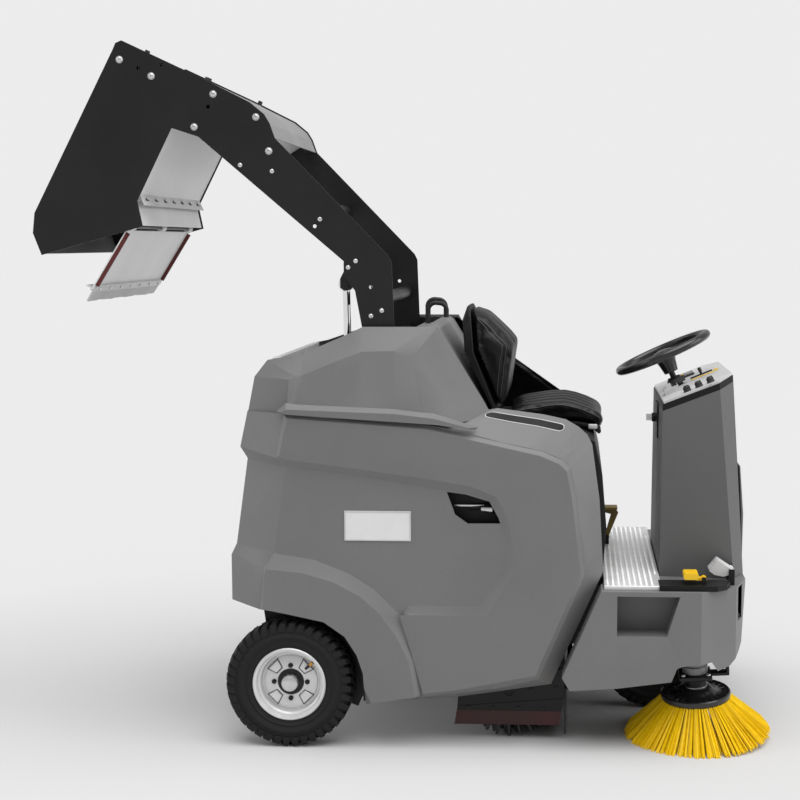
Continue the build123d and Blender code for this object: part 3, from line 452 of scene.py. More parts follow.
for side, name in ((1, "left"), (-1, "right")):
    hub = at(REAR_HUB[0], REAR_HUB[1] * side, REAR_HUB[2])
    tyre(name + "_rear_tyre", hub, REAR_TYRE, 40, name + "_rear_wheel")
    rear_rim(side)
tyre("front_tyre", at(1165, 0, 175), FRONT_TYRE, 36, "front_wheel")


# ------------------------------------------------------------------ side broom
BROOM_HUB = at(1290, -340, 140)
BROOM_LEAN = Matrix.Rotation(math.radians(5), 4, "X") @ Matrix.Rotation(math.radians(-3), 4, "Y")
ON_BROOM = Matrix.Translation(BROOM_HUB) @ BROOM_LEAN


def filament_bundle(length, spread, hairs, thick, chance):
    """A tuft of straight filaments that fan out a little from one hole."""
    bm = bmesh.new()
    for _ in range(hairs):
        lean = Matrix.Rotation(chance.uniform(-spread, spread), 4, "X") @ Matrix.Rotation(
            chance.uniform(-spread, spread), 4, "Y")
        place = Matrix.Translation((chance.uniform(-1, 1) * thick, chance.uniform(-1, 1) * thick, 0))
        reach = length * chance.uniform(0.93, 1.0)
        hair = place @ lean @ Matrix.Translation((0, 0, reach / 2))
        bmesh.ops.create_cone(bm, cap_ends=True, segments=4, radius1=thick * 0.62, radius2=thick * 0.5,
                              depth=reach, matrix=hair)
    return bm


# rings of tufts: radius at the disc, radius at the floor and number of tufts
BROOM_RINGS = ((0.106, 0.232, 90), (0.097, 0.222, 84), (0.085, 0.204, 70), (0.072, 0.180, 50))


def side_broom():
    """Flared crown of yellow tufts under a black dished disc."""
    chance = random.Random(11)
    bundles = [filament_bundle(0.176, 0.022, 10, 0.0022, chance) for _ in range(5)]
    bm = bmesh.new()
    for row, (inner, outer, count) in enumerate(BROOM_RINGS):
        for number in range(count):
            turn = math.tau * (number + 0.33 * row) / count + chance.uniform(-0.016, 0.016)
            root = Vector((inner, 0, -0.006))
            tip = Vector((outer, chance.uniform(-0.005, 0.005), -0.124))
            lay = Matrix.Rotation(turn, 4, "Z") @ turn_to(tip - root, root)
            tuft = chance.choice(bundles)
            join(bm, tuft, lay @ Matrix.Rotation(chance.uniform(0, math.tau), 4, "Z"), keep=True)
    moved(bm, ON_BROOM)
    hair = piece("broom_tufts", bm, yellow_hair, "side_broom", smooth=60)
    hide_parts("broom_bristles")
    for bundle in bundles:
        bundle.free()
    disc = spun([(0.0145, 0.030), (0.040, 0.030), (0.050, 0.028), (0.058, 0.020), (0.066, 0.013),
                 (0.086, 0.009), (0.104, 0.010), (0.1085, 0.013), (0.112, 0.010), (0.1125, 0.001),
                 (0.110, -0.008), (0.104, -0.011),
                 (0.0145, -0.011)], axis="z", steps=96)
    for number in range(24):
        rib = block((0.030, 0.0022, 0.004), (0.083, 0, 0.0095), 0.0008, 1)
        join(disc, rib, Matrix.Rotation(math.tau * number / 24, 4, "Z"))
    moved(disc, ON_BROOM)
    plate = piece("broom_disc_dished", disc, gloss_black, "side_broom", smooth=35)
    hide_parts("broom_disc")


side_broom()


def broom_motor():
    """Hydraulic motor with its flange, bracket, spindle collar, nut and bolts."""
    body = spun([(0.0, 0.170), (0.030, 0.170), (0.036, 0.166), (0.0395, 0.158), (0.0395, 0.112),
                 (0.037, 0.108),
                 (0.037, 0.104), (0.041, 0.100), (0.041, 0.078), (0.0, 0.078)], axis="z", steps=64)
    moved(body, ON_BROOM)
    can = piece("broom_motor_can", body, motor_grey, "broom_arm", smooth=35)
    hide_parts("broom_motor")
    flange = block((0.104, 0.104, 0.016), (0, 0, 0.068), 0.004, 2)
    neck = round_bar(0.030, 0.026, 40)
    join(flange, neck, Matrix.Translation((0, 0, 0.034)))
    moved(flange, ON_BROOM)
    piece("broom_motor_flange", flange, coat_black, "broom_arm", smooth=35)
    bracket = block((0.060, 0.040, 0.010), (0.078, 0, 0.071), 0.003, 2)
    join(bracket, block((0.010, 0.040, 0.030), (0.104, 0, 0.082), 0.003, 2))
    moved(bracket, ON_BROOM)
    piece("broom_motor_bracket", bracket, coat_black, "broom_arm", smooth=35)
    bolts = bmesh.new()
    for x in (-0.040, 0.040):
        for y in (-0.040, 0.040):
            head = round_bar(0.0075, 0.006, 6)
            join(bolts, rounded(head, 0.001, 1), Matrix.Translation((x, y, 0.076)))
    collar = round_bar(0.038, 0.004, 40)
    join(bolts, rounded(collar, 0.001, 1), Matrix.Translation((0, 0, 0.0305)))
    nut = round_bar(0.017, 0.010, 6)
    join(bolts, rounded(nut, 0.0015, 1), Matrix.Translation((0.0, 0, 0.0345)))
    moved(bolts, ON_BROOM)
    piece("broom_motor_bolts", bolts, zinc, "broom_arm", smooth=35)


broom_motor()


# ------------------------------------------------------------------ main roller
ROLLER_AXIS = at(690, 0, 161)
ROLLER_HALF = 0.366
ROWS, TUFTS = 26, 34                # rows round the core and tufts in each row


def roller():
    """Rows of dark tufts wound in a slow helix round the roller core."""
    chance = random.Random(5)
    bundle = bmesh.new()
    for offset in (-0.006, 0, 0.006):
        lean = Matrix.Rotation(offset * 8, 4, "X")
        bmesh.ops.create_cone(bundle, cap_ends=True, segments=5, radius1=0.0035, radius2=0.0058, depth=0.098,
                              matrix=Matrix.Translation((0, offset, 0.109)) @ lean)
    bm = bmesh.new()
    for row in range(ROWS):
        for number in range(TUFTS):
            y = -ROLLER_HALF + 0.7322 * number / (TUFTS - 1)
            turn = math.tau * row / ROWS + y * 1.9 + chance.uniform(-0.03, 0.03)
            join(bm, bundle, Matrix.Translation((0, y, 0)) @ Matrix.Rotation(turn, 4, "Y"), keep=True)
    bundle.free()
    bmesh.ops.translate(bm, vec=ROLLER_AXIS, verts=bm.verts)
    hair = piece("roller_tufts", bm, black_hair, "main_roller", smooth=60)
    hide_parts("roller_bristles")


roller()


# ------------------------------------------------------------------ steering wheel
COLUMN_LEAN = math.radians(24)
PANEL_SLOPE = math.radians(22)
PANEL_TOP = 27                      # instrument panel face above the console edge, mm
PANEL_FOOT = (1179, 1053)           # x and z where the console edge begins
COLUMN_FOOT = (1250, 0, 1090.6)
WHEEL_UP = 142                      # wheel rim's middle above the column's foot
RIM_RADIUS = 0.158
LEVER_AT = (1337, 45)


def on_column(up):
    """Matrix for a place on the steering column's line."""
    lean = Matrix.Rotation(-COLUMN_LEAN, 4, "Y")
    return Matrix.Translation(at(*COLUMN_FOOT)) @ lean @ Matrix.Translation((0, 0, up / 1000))


def on_panel(x, y, up):
    """Matrix for a place over the sloping console edge, z square to the slope."""
    z = PANEL_FOOT[1] + (x - PANEL_FOOT[0]) * math.tan(PANEL_SLOPE)
    lean = Matrix.Rotation(-PANEL_SLOPE, 4, "Y")
    return Matrix.Translation(at(x, y, z)) @ lean @ Matrix.Translation((0, 0, up / 1000))


def ring(tube):
    """Closed torus of the steering wheel's rim on the origin."""
    outline = [(RIM_RADIUS + tube * math.cos(math.tau * n / 24), tube * math.sin(math.tau * n / 24))
               for n in range(24)]
    return spun(outline, axis="z", steps=96)


def steering_wheel():
    """Thick-rimmed wheel with three dished spokes, a hub cap and a tapered boss."""
    lift = on_column(WHEEL_UP)
    bm = ring(0.0135)
    for turn in (90, 210, 330):
        spoke = block((0.128, 0.034, 0.010), (0, 0, 0), 0.0)
        bmesh.ops.subdivide_edges(spoke, edges=spoke.edges[:], cuts=3, use_grid_fill=True)
        for vert in spoke.verts:
            along = vert.co.x / 0.064
            vert.co.y *= 0.72 + 0.28 * along * along
            vert.co.z += -0.006 * (1 - along * along)
        rounded(spoke, 0.0025, 2, 50)
        lean = Matrix.Rotation(math.radians(turn), 4, "Z") @ Matrix.Translation((0.090, 0, -0.006))
        join(bm, spoke, lean @ Matrix.Rotation(math.radians(-5), 4, "Y"))
    hub = spun([(0.0, 0.008), (0.018, 0.0075), (0.030, 0.005), (0.036, 0.0), (0.038, -0.006), (0.038, -0.022),
                (0.034, -0.027), (0.030, -0.040), (0.024, -0.072), (0.010, -0.072), (0.0, -0.072)],
               axis="z", steps=64)
    join(bm, hub)
    moved(bm, lift)
    wheel = piece("steering_wheel_moulded", bm, gloss_black, "steering_wheel", smooth=40)
    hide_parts("steering_wheel")
    shaft = round_bar(0.010, 0.150, 32)
    moved(shaft, on_column(-30))
    piece("steering_shaft", shaft, coat_black, "steering_wheel")
    seam = ring(0.0137)
    for way in (1, -1):
        bmesh.ops.bisect_plane(seam, geom=seam.verts[:] + seam.edges[:] + seam.faces[:],
                               plane_co=(0, 0, 0.0004 * way), plane_no=(0, 0, way), clear_outer=True)
    bmesh.ops.solidify(seam, geom=seam.faces[:], thickness=0.0004)
    moved(seam, lift)
    piece("wheel_rim_seam", seam, rubber, "steering_wheel")


steering_wheel()


# ------------------------------------------------------------------ console top
def knob(node, x):
    """Fluted turning knob with a pointer ridge."""
    place = on_panel(x, -266, PANEL_TOP + 1)
    bm = spun([(0.0, 0.0165), (0.0085, 0.0165), (0.0102, 0.015), (0.0110, 0.004), (0.0135, 0.002),
               (0.0135, 0.0),
               (0.0, 0.0)], axis="z", steps=48)
    for number in range(16):
        rib = block((0.0019, 0.0019, 0.010), (0.0109, 0, 0.0090), 0.0005, 1)
        join(bm, rib, Matrix.Rotation(math.tau * number / 16, 4, "Z"))
    pointer = block((0.018, 0.004, 0.003), (0.001, 0, 0.0175), 0.0008, 2)
    join(bm, pointer)
    moved(bm, place)
    obj = piece(node + "_fluted", bm, gloss_black, node, smooth=35)
    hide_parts(node)
    mark = block((0.006, 0.0014, 0.0006), (0.0065, 0, 0.0192))
    moved(mark, place)
    piece(node + "_mark", mark, plate_white, node)


for name, x in (("broom_knob", 1268), ("roller_knob", 1305), ("fan_knob", 1342)):
    knob(name, x)


def hopper_lever():
    """Small lever with a tapered grip."""
    place = on_panel(*LEVER_AT, 0)
    grip = spun([(0.0, 0.0535), (0.0040, 0.053), (0.0062, 0.051), (0.0068, 0.048), (0.0062, 0.042),
                 (0.0048, 0.036),
                 (0.0040, 0.033), (0.0040, 0.008), (0.0, 0.008)], axis="z", steps=40)
    moved(grip, place)
    obj = piece("hopper_lever_grip", grip, gloss_black, "hopper_lever", smooth=40)
    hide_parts("hopper_lever")


hopper_lever()


def console_marks():
    """Yellow bands, lever gate, lamps and a plain hour-meter window on the panel."""
    strips = bmesh.new()
    for x, y, long, wide in ((1338, 0, 0.084, 0.026), (1384, 30, 0.014, 0.060), (1262, 84, 0.040, 0.010)):
        bar = block((long, wide, 0.0012), (0, 0, 0.0006), 0.0004, 1)
        join(strips, bar, on_panel(x, y, PANEL_TOP))
    piece("panel_yellow_bands", strips, yellow_gloss, "chassis")
    gate = block((0.078, 0.020, 0.003), (0, 0, 0.0018), 0.001, 2)
    moved(gate, on_panel(*LEVER_AT, PANEL_TOP))
    piece("lever_gate", gate, plastic_black, "chassis")
    meter = block((0.046, 0.104, 0.006), (0, 0, 0.003), 0.002, 2)
    moved(meter, on_panel(1300, 190, PANEL_TOP))
    piece("hour_meter_case", meter, gloss_black, "chassis")
    window = block((0.020, 0.060, 0.0016), (0, 0, 0.0064), 0.0006, 1)
    moved(window, on_panel(1304, 190, PANEL_TOP))
    piece("hour_meter_window", window, smoked, "chassis")
    for y, label, mat in ((160, "red_lamp", red_rubber), (190, "amber_lamp", yellow_gloss),
                          (220, "pale_lamp", plate_white)):
        lamp_ = round_bar(0.0042, 0.004, 20)
        rounded(lamp_, 0.0012, 3)
        moved(lamp_, on_panel(1284, y, PANEL_TOP + 6))
        piece(label, lamp_, mat, "chassis")
    rockers = bmesh.new()
    for y in (-145, -125, -105):
        cap = block((0.020, 0.015, 0.007), (0, 0, 0), 0.002, 2)
        join(rockers, cap, on_panel(1240, y, PANEL_TOP + 21) @ Matrix.Rotation(math.radians(7), 4, "Y"))
    piece("rocker_caps", rockers, gloss_black, "chassis")
    collar = spun([(0.0232, 0.0), (0.034, 0.0), (0.034, 0.004), (0.029, 0.009), (0.025, 0.018),
                   (0.0232, 0.018)],
                  axis="z", steps=56)
    moved(collar, on_column(27))
    piece("column_boot", collar, rubber, "chassis")
    band = block((0.0026, 0.0030, 0.030), (0, 0, 0), 0.0006, 1)
    moved(band, on_panel(1337, -312, 14) @ Matrix.Rotation(math.radians(6), 4, "Z"))
    piece("trim_clip", band, zinc, "chassis")


console_marks()


# ------------------------------------------------------------------ floor plate
def tread_plate():
    """Bright plate with rows of raised oval studs and turned-down edges."""
    low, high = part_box("floor_plate")
    size = (high[0] - low[0], high[1] - low[1])
    middle = ((high[0] + low[0]) / 2, (high[1] + low[1]) / 2)
    bm = block((*size, high[2] - low[2]), (*middle, (high[2] + low[2]) / 2 - 0.0004), 0.002, 3)
    stud = bmesh.new()
    bmesh.ops.create_cone(stud, cap_ends=True, segments=8, radius1=0.0062, radius2=0.0030, depth=0.0022)
    bmesh.ops.scale(stud, vec=(1.0, 0.62, 1), verts=stud.verts)
    step = 0.0165
    rows = int((size[0] - 0.02) / step)
    ranks = int((size[1] - 0.03) / step)
    for i in range(rows + 1):
        for j in range(ranks + 1):
            x = low[0] + 0.011 + i * (size[0] - 0.022) / rows
            y = low[1] + 0.016 + j * (size[1] - 0.032) / ranks
            if abs(y - middle[1]) > 0.322 and x > high[0] - 0.018:
                continue
            turn = math.radians(45 if (i + j) % 2 else -45)
            spot = Matrix.Translation((x, y, high[2] + 0.0004))
            join(bm, stud, spot @ Matrix.Rotation(turn, 4, "Z"), keep=True)
    stud.free()
    obj = piece("floor_tread_plate", bm, tread_metal, "chassis", smooth=35)
    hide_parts("floor_plate")


tread_plate()


# ------------------------------------------------------------------ pedals
def pedal_ribs():
    """Grip ribs on the two pedals."""
    low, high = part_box("brake_pedal")
    ribs = bmesh.new()
    for number in range(5):
        x = low[0] + 0.008 + 0.0072 * number
        bar = block((0.0035, 0.056, 0.003), (x, (low[1] + high[1]) / 2, 0.5682), 0.0012, 2)
        join(ribs, bar)
    piece("brake_pedal_ribs", ribs, yellow_gloss, "brake_pedal")
    ribs = bmesh.new()
    for number in range(5):
        along = (number + 0.7) / 5.6
        place = at(1322 + 28 * along, -372, 558 + 34 * along) + Vector((-0.0008, 0, 0.0006))
        bar = block((0.0036, 0.062, 0.003), (0, 0, 0), 0.0012, 2)
        join(ribs, bar, Matrix.Translation(place) @ Matrix.Rotation(math.radians(-50.5), 4, "Y"))
    piece("drive_pedal_ribs", ribs, white_pad, "drive_pedal")


pedal_ribs()


# ------------------------------------------------------------------ hopper hardware
BIG_BOLTS = [(-526, 2156), (-427, 2105), (-233, 2049), (-100, 1978), (-295, 1948), (-61, 1873)]
SMALL_BOLTS = [(-152, 1830), (-52, 1811), (97, 1662), (208, 1532), (184, 1512), (289, 1377), (255, 1360)]
ARM_FACE = 400                      # outer face of an arm plate from the middle plane, mm


def arm_bolts():
    """Domed bolts with washers along both arm plates."""
    bm = bmesh.new()
    for side in (-1, 1):
        for x, z in BIG_BOLTS + SMALL_BOLTS:
            k = 1.0 if (x, z) in BIG_BOLTS else 0.62
            head = spun([(0.0, 0.0048 * k), (0.0035 * k, 0.0045 * k), (0.0070 * k, 0.0035 * k),
                         (0.0086 * k, 0.0018 * k), (0.0090 * k, 0.0010), (0.0115 * k, 0.0010),
                         (0.0118 * k, 0.0),
                         (0.0, 0.0)], axis="z", steps=24)
            join(bm, head, turn_to((0, side, 0), at(x, ARM_FACE * side, z)))
    obj = piece("arm_bolts_domed", bm, zinc, "hopper", smooth=40)
    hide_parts("arm_bolts")


arm_bolts()


def arm_bumpers():
    """Rubber stops with bright nuts on the top edge of each arm plate."""
    pads = bmesh.new()
    nuts = bmesh.new()
    for side in (-1, 1):
        for x, z in ((-444, 2170), (-251, 2084)):
            stand = turn_to((0.42, 0, 0.91), at(x, 391 * side, z))
            pad = round_bar(0.009, 0.016, 20, tip=0.0075)
            join(pads, rounded(pad, 0.0015, 2), stand)
            nut = round_bar(0.0095, 0.005, 6)
            join(nuts, rounded(nut, 0.001, 1), stand @ Matrix.Translation((0, 0, -0.004)))
    piece("arm_bumpers", pads, rubber, "hopper")
    piece("bumper_nuts", nuts, zinc, "hopper")


arm_bumpers()


def mouth_strip():
    """Slotted flange with bolts across the mouth."""
    start = at(-483, 0, 1741)
    end = at(-467, 0, 1706)
    along = (end - start).normalized()
    out = Vector((along.z, 0, -along.x))
    if out.x < 0:
        out = -out
    frame_ = Matrix((along, Vector((0, 1, 0)), out)).transposed().to_4x4()
    frame_.translation = (start + end) / 2 + out * 0.0055
    strip = block((0.044, 0.774, 0.003), (0, 0, 0), 0.001, 2)
    moved(strip, frame_)
    bmesh.ops.recalc_face_normals(strip, faces=strip.faces)
    piece("mouth_flange", strip, panel_grey, "hopper")
    slots = bmesh.new()
    heads = bmesh.new()
    for number in range(7):
        y = -0.330 + 0.11 * number
        slot = block((0.008, 0.034, 0.0012), (0.002, y, 0.0018), 0.003, 3)
        join(slots, slot, frame_)
        head = round_bar(0.006, 0.004, 6)
        join(heads, rounded(head, 0.001, 1), frame_ @ Matrix.Translation((-0.002, y, 0.002)))
    piece("mouth_flange_slots", slots, plastic_black, "hopper")
    piece("mouth_flange_bolts", heads, zinc, "hopper")


mouth_strip()

FLAP_PIN = at(-512, 0, 1640)
FLAP_TURN = Matrix.Translation(FLAP_PIN) @ Matrix.Rotation(math.radians(-238), 4, "Y")
CLAMP_REACH = 0.227                 # flap pin to the line of clamp bolts


def flap_fittings():
    """Clamp strips and bolts along the flap's lip."""
    for label, lift in (("outer", -0.0035), ("inner", 0.0085)):
        bar = block((0.024, 0.772, 0.0025), (CLAMP_REACH, 0, lift), 0.0008, 2)
        moved(bar, FLAP_TURN)
        piece(f"flap_clamp_{label}", bar, panel_grey, "flap")
    heads = bmesh.new()
    for number in range(7):
        for lift, flip in ((0.010, 1), (-0.0048, -1)):
            head = round_bar(0.0062, 0.0035, 6)
            spot = Matrix.Translation((CLAMP_REACH, -0.345 + 0.115 * number, lift))
            join(heads, rounded(head, 0.001, 1), FLAP_TURN @ spot @ Matrix.Diagonal((1, 1, flip, 1)))
    bmesh.ops.recalc_face_normals(heads, faces=heads.faces)
    piece("flap_clamp_bolts", heads, zinc, "flap")


flap_fittings()


def lip_sheet():
    """Pale rubber lip along the flap, with a slightly wavy free edge."""
    bm = block((0.056, 0.778, 0.005), (0.246, 0, 0.0045))
    cuts = [e for e in bm.edges if abs((e.verts[0].co - e.verts[1].co).y) > 0.1]
    bmesh.ops.subdivide_edges(bm, edges=cuts, cuts=40, use_grid_fill=True)
    for vert in bm.verts:
        if vert.co.x > 0.25:
            vert.co.z += 0.0016 * math.sin(vert.co.y * 31) + 0.001 * math.sin(vert.co.y * 77)
    moved(bm, FLAP_TURN)
    obj = piece("flap_lip_sheet", bm, pale_rubber, "flap", smooth=35)
    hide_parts("flap_lip")


lip_sheet()


# ------------------------------------------------------------------ seat
SEAT_HALF = 0.216
BACK_TOP = at(0, 0, 1380).z
NARROW = 0.20                       # share of the width that the backrest loses at its top
PIPING_R = 0.0022
VOXEL = 0.0055
AIR_FRAMES = 20                     # length of the cloth simulation


def seat_form(outline, half, narrow=0.0, channels=(), depth=0.0):
    """Side outline carried across the seat, drawn in at the sides and along sewn channels."""
    points = [(p.x, p.z) for p in (at(x, 0, z) for x, z in outline)]
    bm = prism(points, -half + SHIFT.y, half + SHIFT.y)
    across = [e for e in bm.edges if abs(e.verts[0].co.y - e.verts[1].co.y) > half]
    bmesh.ops.subdivide_edges(bm, edges=across, cuts=24, use_grid_fill=True)
    middle_x = sum(p[0] for p in points) / len(points)
    middle_z = sum(p[1] for p in points) / len(points)
    reach = max(p[1] for p in points) - min(p[1] for p in points)
    for vert in bm.verts:
        side = abs(vert.co.y - SHIFT.y) / half
        pull = 1 - 0.16 * side ** 6
        vert.co.x = middle_x + (vert.co.x - middle_x) * (1 - 0.05 * side ** 8)
        vert.co.z = middle_z + (vert.co.z - middle_z) * (pull if not narrow else 1)
        if narrow:
            vert.co.x = middle_x + (vert.co.x - middle_x) * pull
            high = max(0.0, (vert.co.z - (BACK_TOP - reach * 0.62)) / (reach * 0.62))
            vert.co.y = SHIFT.y + (vert.co.y - SHIFT.y) * (1 - narrow * high ** 2.4)
            vert.co.z -= 0.030 * high * side ** 4
        for channel in channels:
            near = math.exp(-((vert.co.y - SHIFT.y - channel) / 0.012) ** 2)
            if narrow and vert.co.x > middle_x:
                vert.co.x -= depth * near
            if not narrow and vert.co.z > middle_z:
                vert.co.z -= depth * near
    return bm


def puffed(name, bm, body, cap, mat):
    """Remeshed pad, swollen by air pressure in a cloth simulation and capped in its travel."""
    obj = piece(name, bm, mat, body, smooth=180)
    even = obj.modifiers.new("even", "REMESH")
    even.mode = "VOXEL"
    even.voxel_size = VOXEL
    even.use_smooth_shade = True
    bpy.context.view_layer.update()
    obj.data = bpy.data.meshes.new_from_object(obj.evaluated_get(bpy.context.evaluated_depsgraph_get()))
    obj.modifiers.clear()
    start = [vert.co.copy() for vert in obj.data.vertices]
    cloth = obj.modifiers.new("air", "CLOTH")
    cloth.settings.use_pressure = True
    cloth.settings.uniform_pressure_force = 4
    cloth.settings.effector_weights.gravity = 0
    cloth.settings.tension_stiffness = 20
    cloth.settings.compression_stiffness = 20
    cloth.settings.bending_stiffness = 0.6
    cloth.point_cache.frame_end = AIR_FRAMES
    for frame_number in range(1, AIR_FRAMES + 1):
        bpy.context.scene.frame_set(frame_number)
    shaped = obj.evaluated_get(bpy.context.evaluated_depsgraph_get()).data
    moved = [vert.co.copy() for vert in shaped.vertices]
    obj.modifiers.clear()
    bpy.context.scene.frame_set(1)
    for vert, old, new in zip(obj.data.vertices, start, moved):
        step = new - old
        if step.length > cap:
            step *= cap / step.length
        vert.co = old + step
    bm = bmesh.new()
    bm.from_mesh(obj.data)
    for _ in range(2):
        bmesh.ops.smooth_vert(bm, verts=bm.verts, factor=0.5, use_axis_x=True, use_axis_y=True,
                              use_axis_z=True)
    bm.to_mesh(obj.data)
    bm.free()
    for face in obj.data.polygons:
        face.use_smooth = True
    fine = obj.modifiers.new("fine", "SUBSURF")
    fine.levels = 1
    fine.render_levels = 1
    return obj


def welt(name, obj, points):
    """Piping cord of the seat that lies on a pad along given points."""
    tree_ = BVHTree.FromObject(obj, bpy.context.evaluated_depsgraph_get())
    line = bpy.data.curves.new(name, "CURVE")
    line.dimensions = "3D"
    line.bevel_depth = PIPING_R
    line.bevel_resolution = 3
    spline = line.splines.new("NURBS")
    spline.points.add(len(points) - 1)
    for knot, point in zip(spline.points, points):
        place, normal, _, _ = tree_.find_nearest(point)
        knot.co = (*(place + normal * PIPING_R * 0.25), 1)
    spline.order_u = 3
    spline.use_endpoint_u = True
    cord = bpy.data.objects.new(name, line)
    bpy.context.scene.collection.objects.link(cord)
    line.materials.append(gloss_black)
    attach(cord, "seat")


def along(outline, count):
    """Evenly spaced points on an open (x, z) line, in millimetres."""
    lengths = [math.dist(a, b) for a, b in zip(outline, outline[1:])]
    total = sum(lengths)
    spots = []
    for n in range(count):
        want = total * n / (count - 1)
        for (a, b), length in zip(zip(outline, outline[1:]), lengths):
            if want <= length + 1e-9:
                spots.append((a[0] + (b[0] - a[0]) * want / length, a[1] + (b[1] - a[1]) * want / length))
                break
            want -= length
    return spots


SEAT_TOP = [(676, 1040), (720, 1052), (764, 1059), (812, 1066), (862, 1069), (902, 1060), (940, 1046),
            (972, 1030), (991, 1016), (995, 1000), (986, 982)]
BACK_FRONT = [(560, 1380), (600, 1354), (638, 1318), (672, 1284), (689, 1262), (691, 1245), (684, 1200),
              (676, 1140), (668, 1085), (664, 1056)]


def seat():
    """Cushion and backrest in black vinyl with sewn channels and piping."""
    cushion = seat_form(SEAT_TOP + [(960, 1004), (905, 1013), (780, 1013), (672, 1013)], SEAT_HALF,
                        channels=(-0.128, -0.043, 0.043, 0.128), depth=0.013)
    pad = puffed("seat_cushion_padded", cushion, "seat", 0.009, vinyl)
    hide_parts("seat_cushion")
    back = seat_form(BACK_FRONT + [(656, 1058), (610, 1150), (566, 1246), (558, 1330), (554, 1376)],
                     SEAT_HALF, narrow=NARROW, channels=(-0.085, 0.085), depth=0.010)
    rest = puffed("backrest_padded", back, "seat", 0.007, vinyl)
    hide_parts("backrest_cushion")
    for side, name_ in ((1, "left"), (-1, "right")):
        edge = [at(x, 224 * side, z) for x, z in along(SEAT_TOP, 16)]
        welt(f"cushion_piping_{name_}", pad, edge)
        for number, gap in enumerate((0, 17)):
            line = []
            for x, z in along(BACK_FRONT[1:-1], 16):
                high = max(0.0, (z - 1180) / 200)
                y = 226 * side * (1 - NARROW * high ** 2.4)
                line.append(at(x - 14 - gap, y, z - 0.3 * gap * (high > 0.5)))
            welt(f"backrest_piping_{name_}_{number}", rest, line)
    shell = seat_form([(522, 1338), (530, 1240), (632, 1056), (630, 1000), (640, 1000), (652, 1052),
                       (562, 1244),
                       (553, 1330), (548, 1384), (536, 1380)], 0.214, narrow=NARROW)
    rounded(shell, 0.004, 2, 40)
    pan = prism([(p.x, p.z) for p in (at(x, 0, z) for x, z in (
        (636, 994), (905, 993), (955, 985), (975, 966), (984, 975), (962, 998), (905, 1008), (636, 1008)))],
        -0.210 + SHIFT.y, 0.210 + SHIFT.y)
    rounded(pan, 0.004, 2, 20)
    join(shell, pan)
    cup = piece("seat_shell_moulded", shell, plastic_black, "seat", smooth=35)
    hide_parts("seat_shell")
    corners = bmesh.new()
    for side in (-1, 1):
        corner = block((0.030, 0.012, 0.016), at(955, 212 * side, 992), 0.004, 3)
        join(corners, corner)
    piece("seat_pan_corners", corners, panel_grey, "seat", smooth=35)


seat()


# ------------------------------------------------------------------ shell details
HIP_BACK = [(630, 1075), (654, 1073), (712, 1066), (798, 1054), (868, 1039), (890, 1028)]
HIP_FACE = [(520, 1012), (560, 1005), (673, 975), (740, 962), (799, 948), (822, 940)]


def hip_point(along_, across, side, lift):
    """A point on the sloping hip of a side shell."""
    spot = min(along_, 0.999) * (len(HIP_BACK) - 1)
    n = int(spot)
    part_ = spot - n
    back = Vector(HIP_BACK[n]).lerp(Vector(HIP_BACK[n + 1]), part_)
    face = Vector(HIP_FACE[n]).lerp(Vector(HIP_FACE[n + 1]), part_)
    mid = back.lerp(face, across)
    return at(mid.x, (430 + 73 * across) * side, mid.y) + Vector((0, 0.78 * side, 0.62)) * lift


def hip_slot(side, start, finish_, low, high, lift, name_, mat):
    """Long round-ended strip lying on the hip."""
    bm = bmesh.new()
    pairs = []
    count = 22
    for n in range(count + 1):
        t = n / count
        end = min(t, 1 - t) * count / 3.0
        k = math.sqrt(max(0.04, 1 - (1 - min(end, 1)) ** 2))
        middle = (low + high) / 2
        half = (high - low) / 2 * k
        run = start + (finish_ - start) * t
        pairs.append([bm.verts.new(hip_point(run, middle + half * s, side, lift)) for s in (-1, 1)])
    for (a, b), (c, d) in zip(pairs, pairs[1:]):
        bm.faces.new((a, b, d, c))
    bmesh.ops.recalc_face_normals(bm, faces=bm.faces)
    bmesh.ops.solidify(bm, geom=bm.faces[:], thickness=0.0012)
    bmesh.ops.recalc_face_normals(bm, faces=bm.faces)
    piece(name_, bm, mat, "chassis", smooth=35)


for side, name in ((1, "left"), (-1, "right")):
    hip_slot(side, 0.12, 0.90, 0.135, 0.365, 0.0012, name + "_hip_slot_lip", panel_grey)
    hip_slot(side, 0.135, 0.885, 0.16, 0.34, 0.0022, name + "_hip_slot", plastic_black)


def both_sides(bm):
    """Add the mirror image across the machine's middle plane."""
    bmesh.ops.translate(bm, vec=(0, -SHIFT.y, 0), verts=bm.verts)
    other = bm.copy()
    bmesh.ops.scale(other, vec=(1, -1, 1), verts=other.verts)
    bmesh.ops.reverse_faces(other, faces=other.faces)
    join(bm, other)
    bmesh.ops.translate(bm, vec=(0, SHIFT.y, 0), verts=bm.verts)
    return bm


def arch_liners():
    """Black sheets that close the rear wheel arches behind the tyres."""
    outline = [(p.x, p.z) for p in (at(x, 0, z) for x, z in (
        (4, 420), (109, 398), (172, 355), (209, 300), (230, 243), (241, 187), (206, 108), (150, 130),
        (0, 190)))]
    bm = prism(outline, 0.4145 + SHIFT.y, 0.4185 + SHIFT.y)
    piece("arch_liners", both_sides(bm), frame_black, "chassis", smooth=35)


arch_liners()


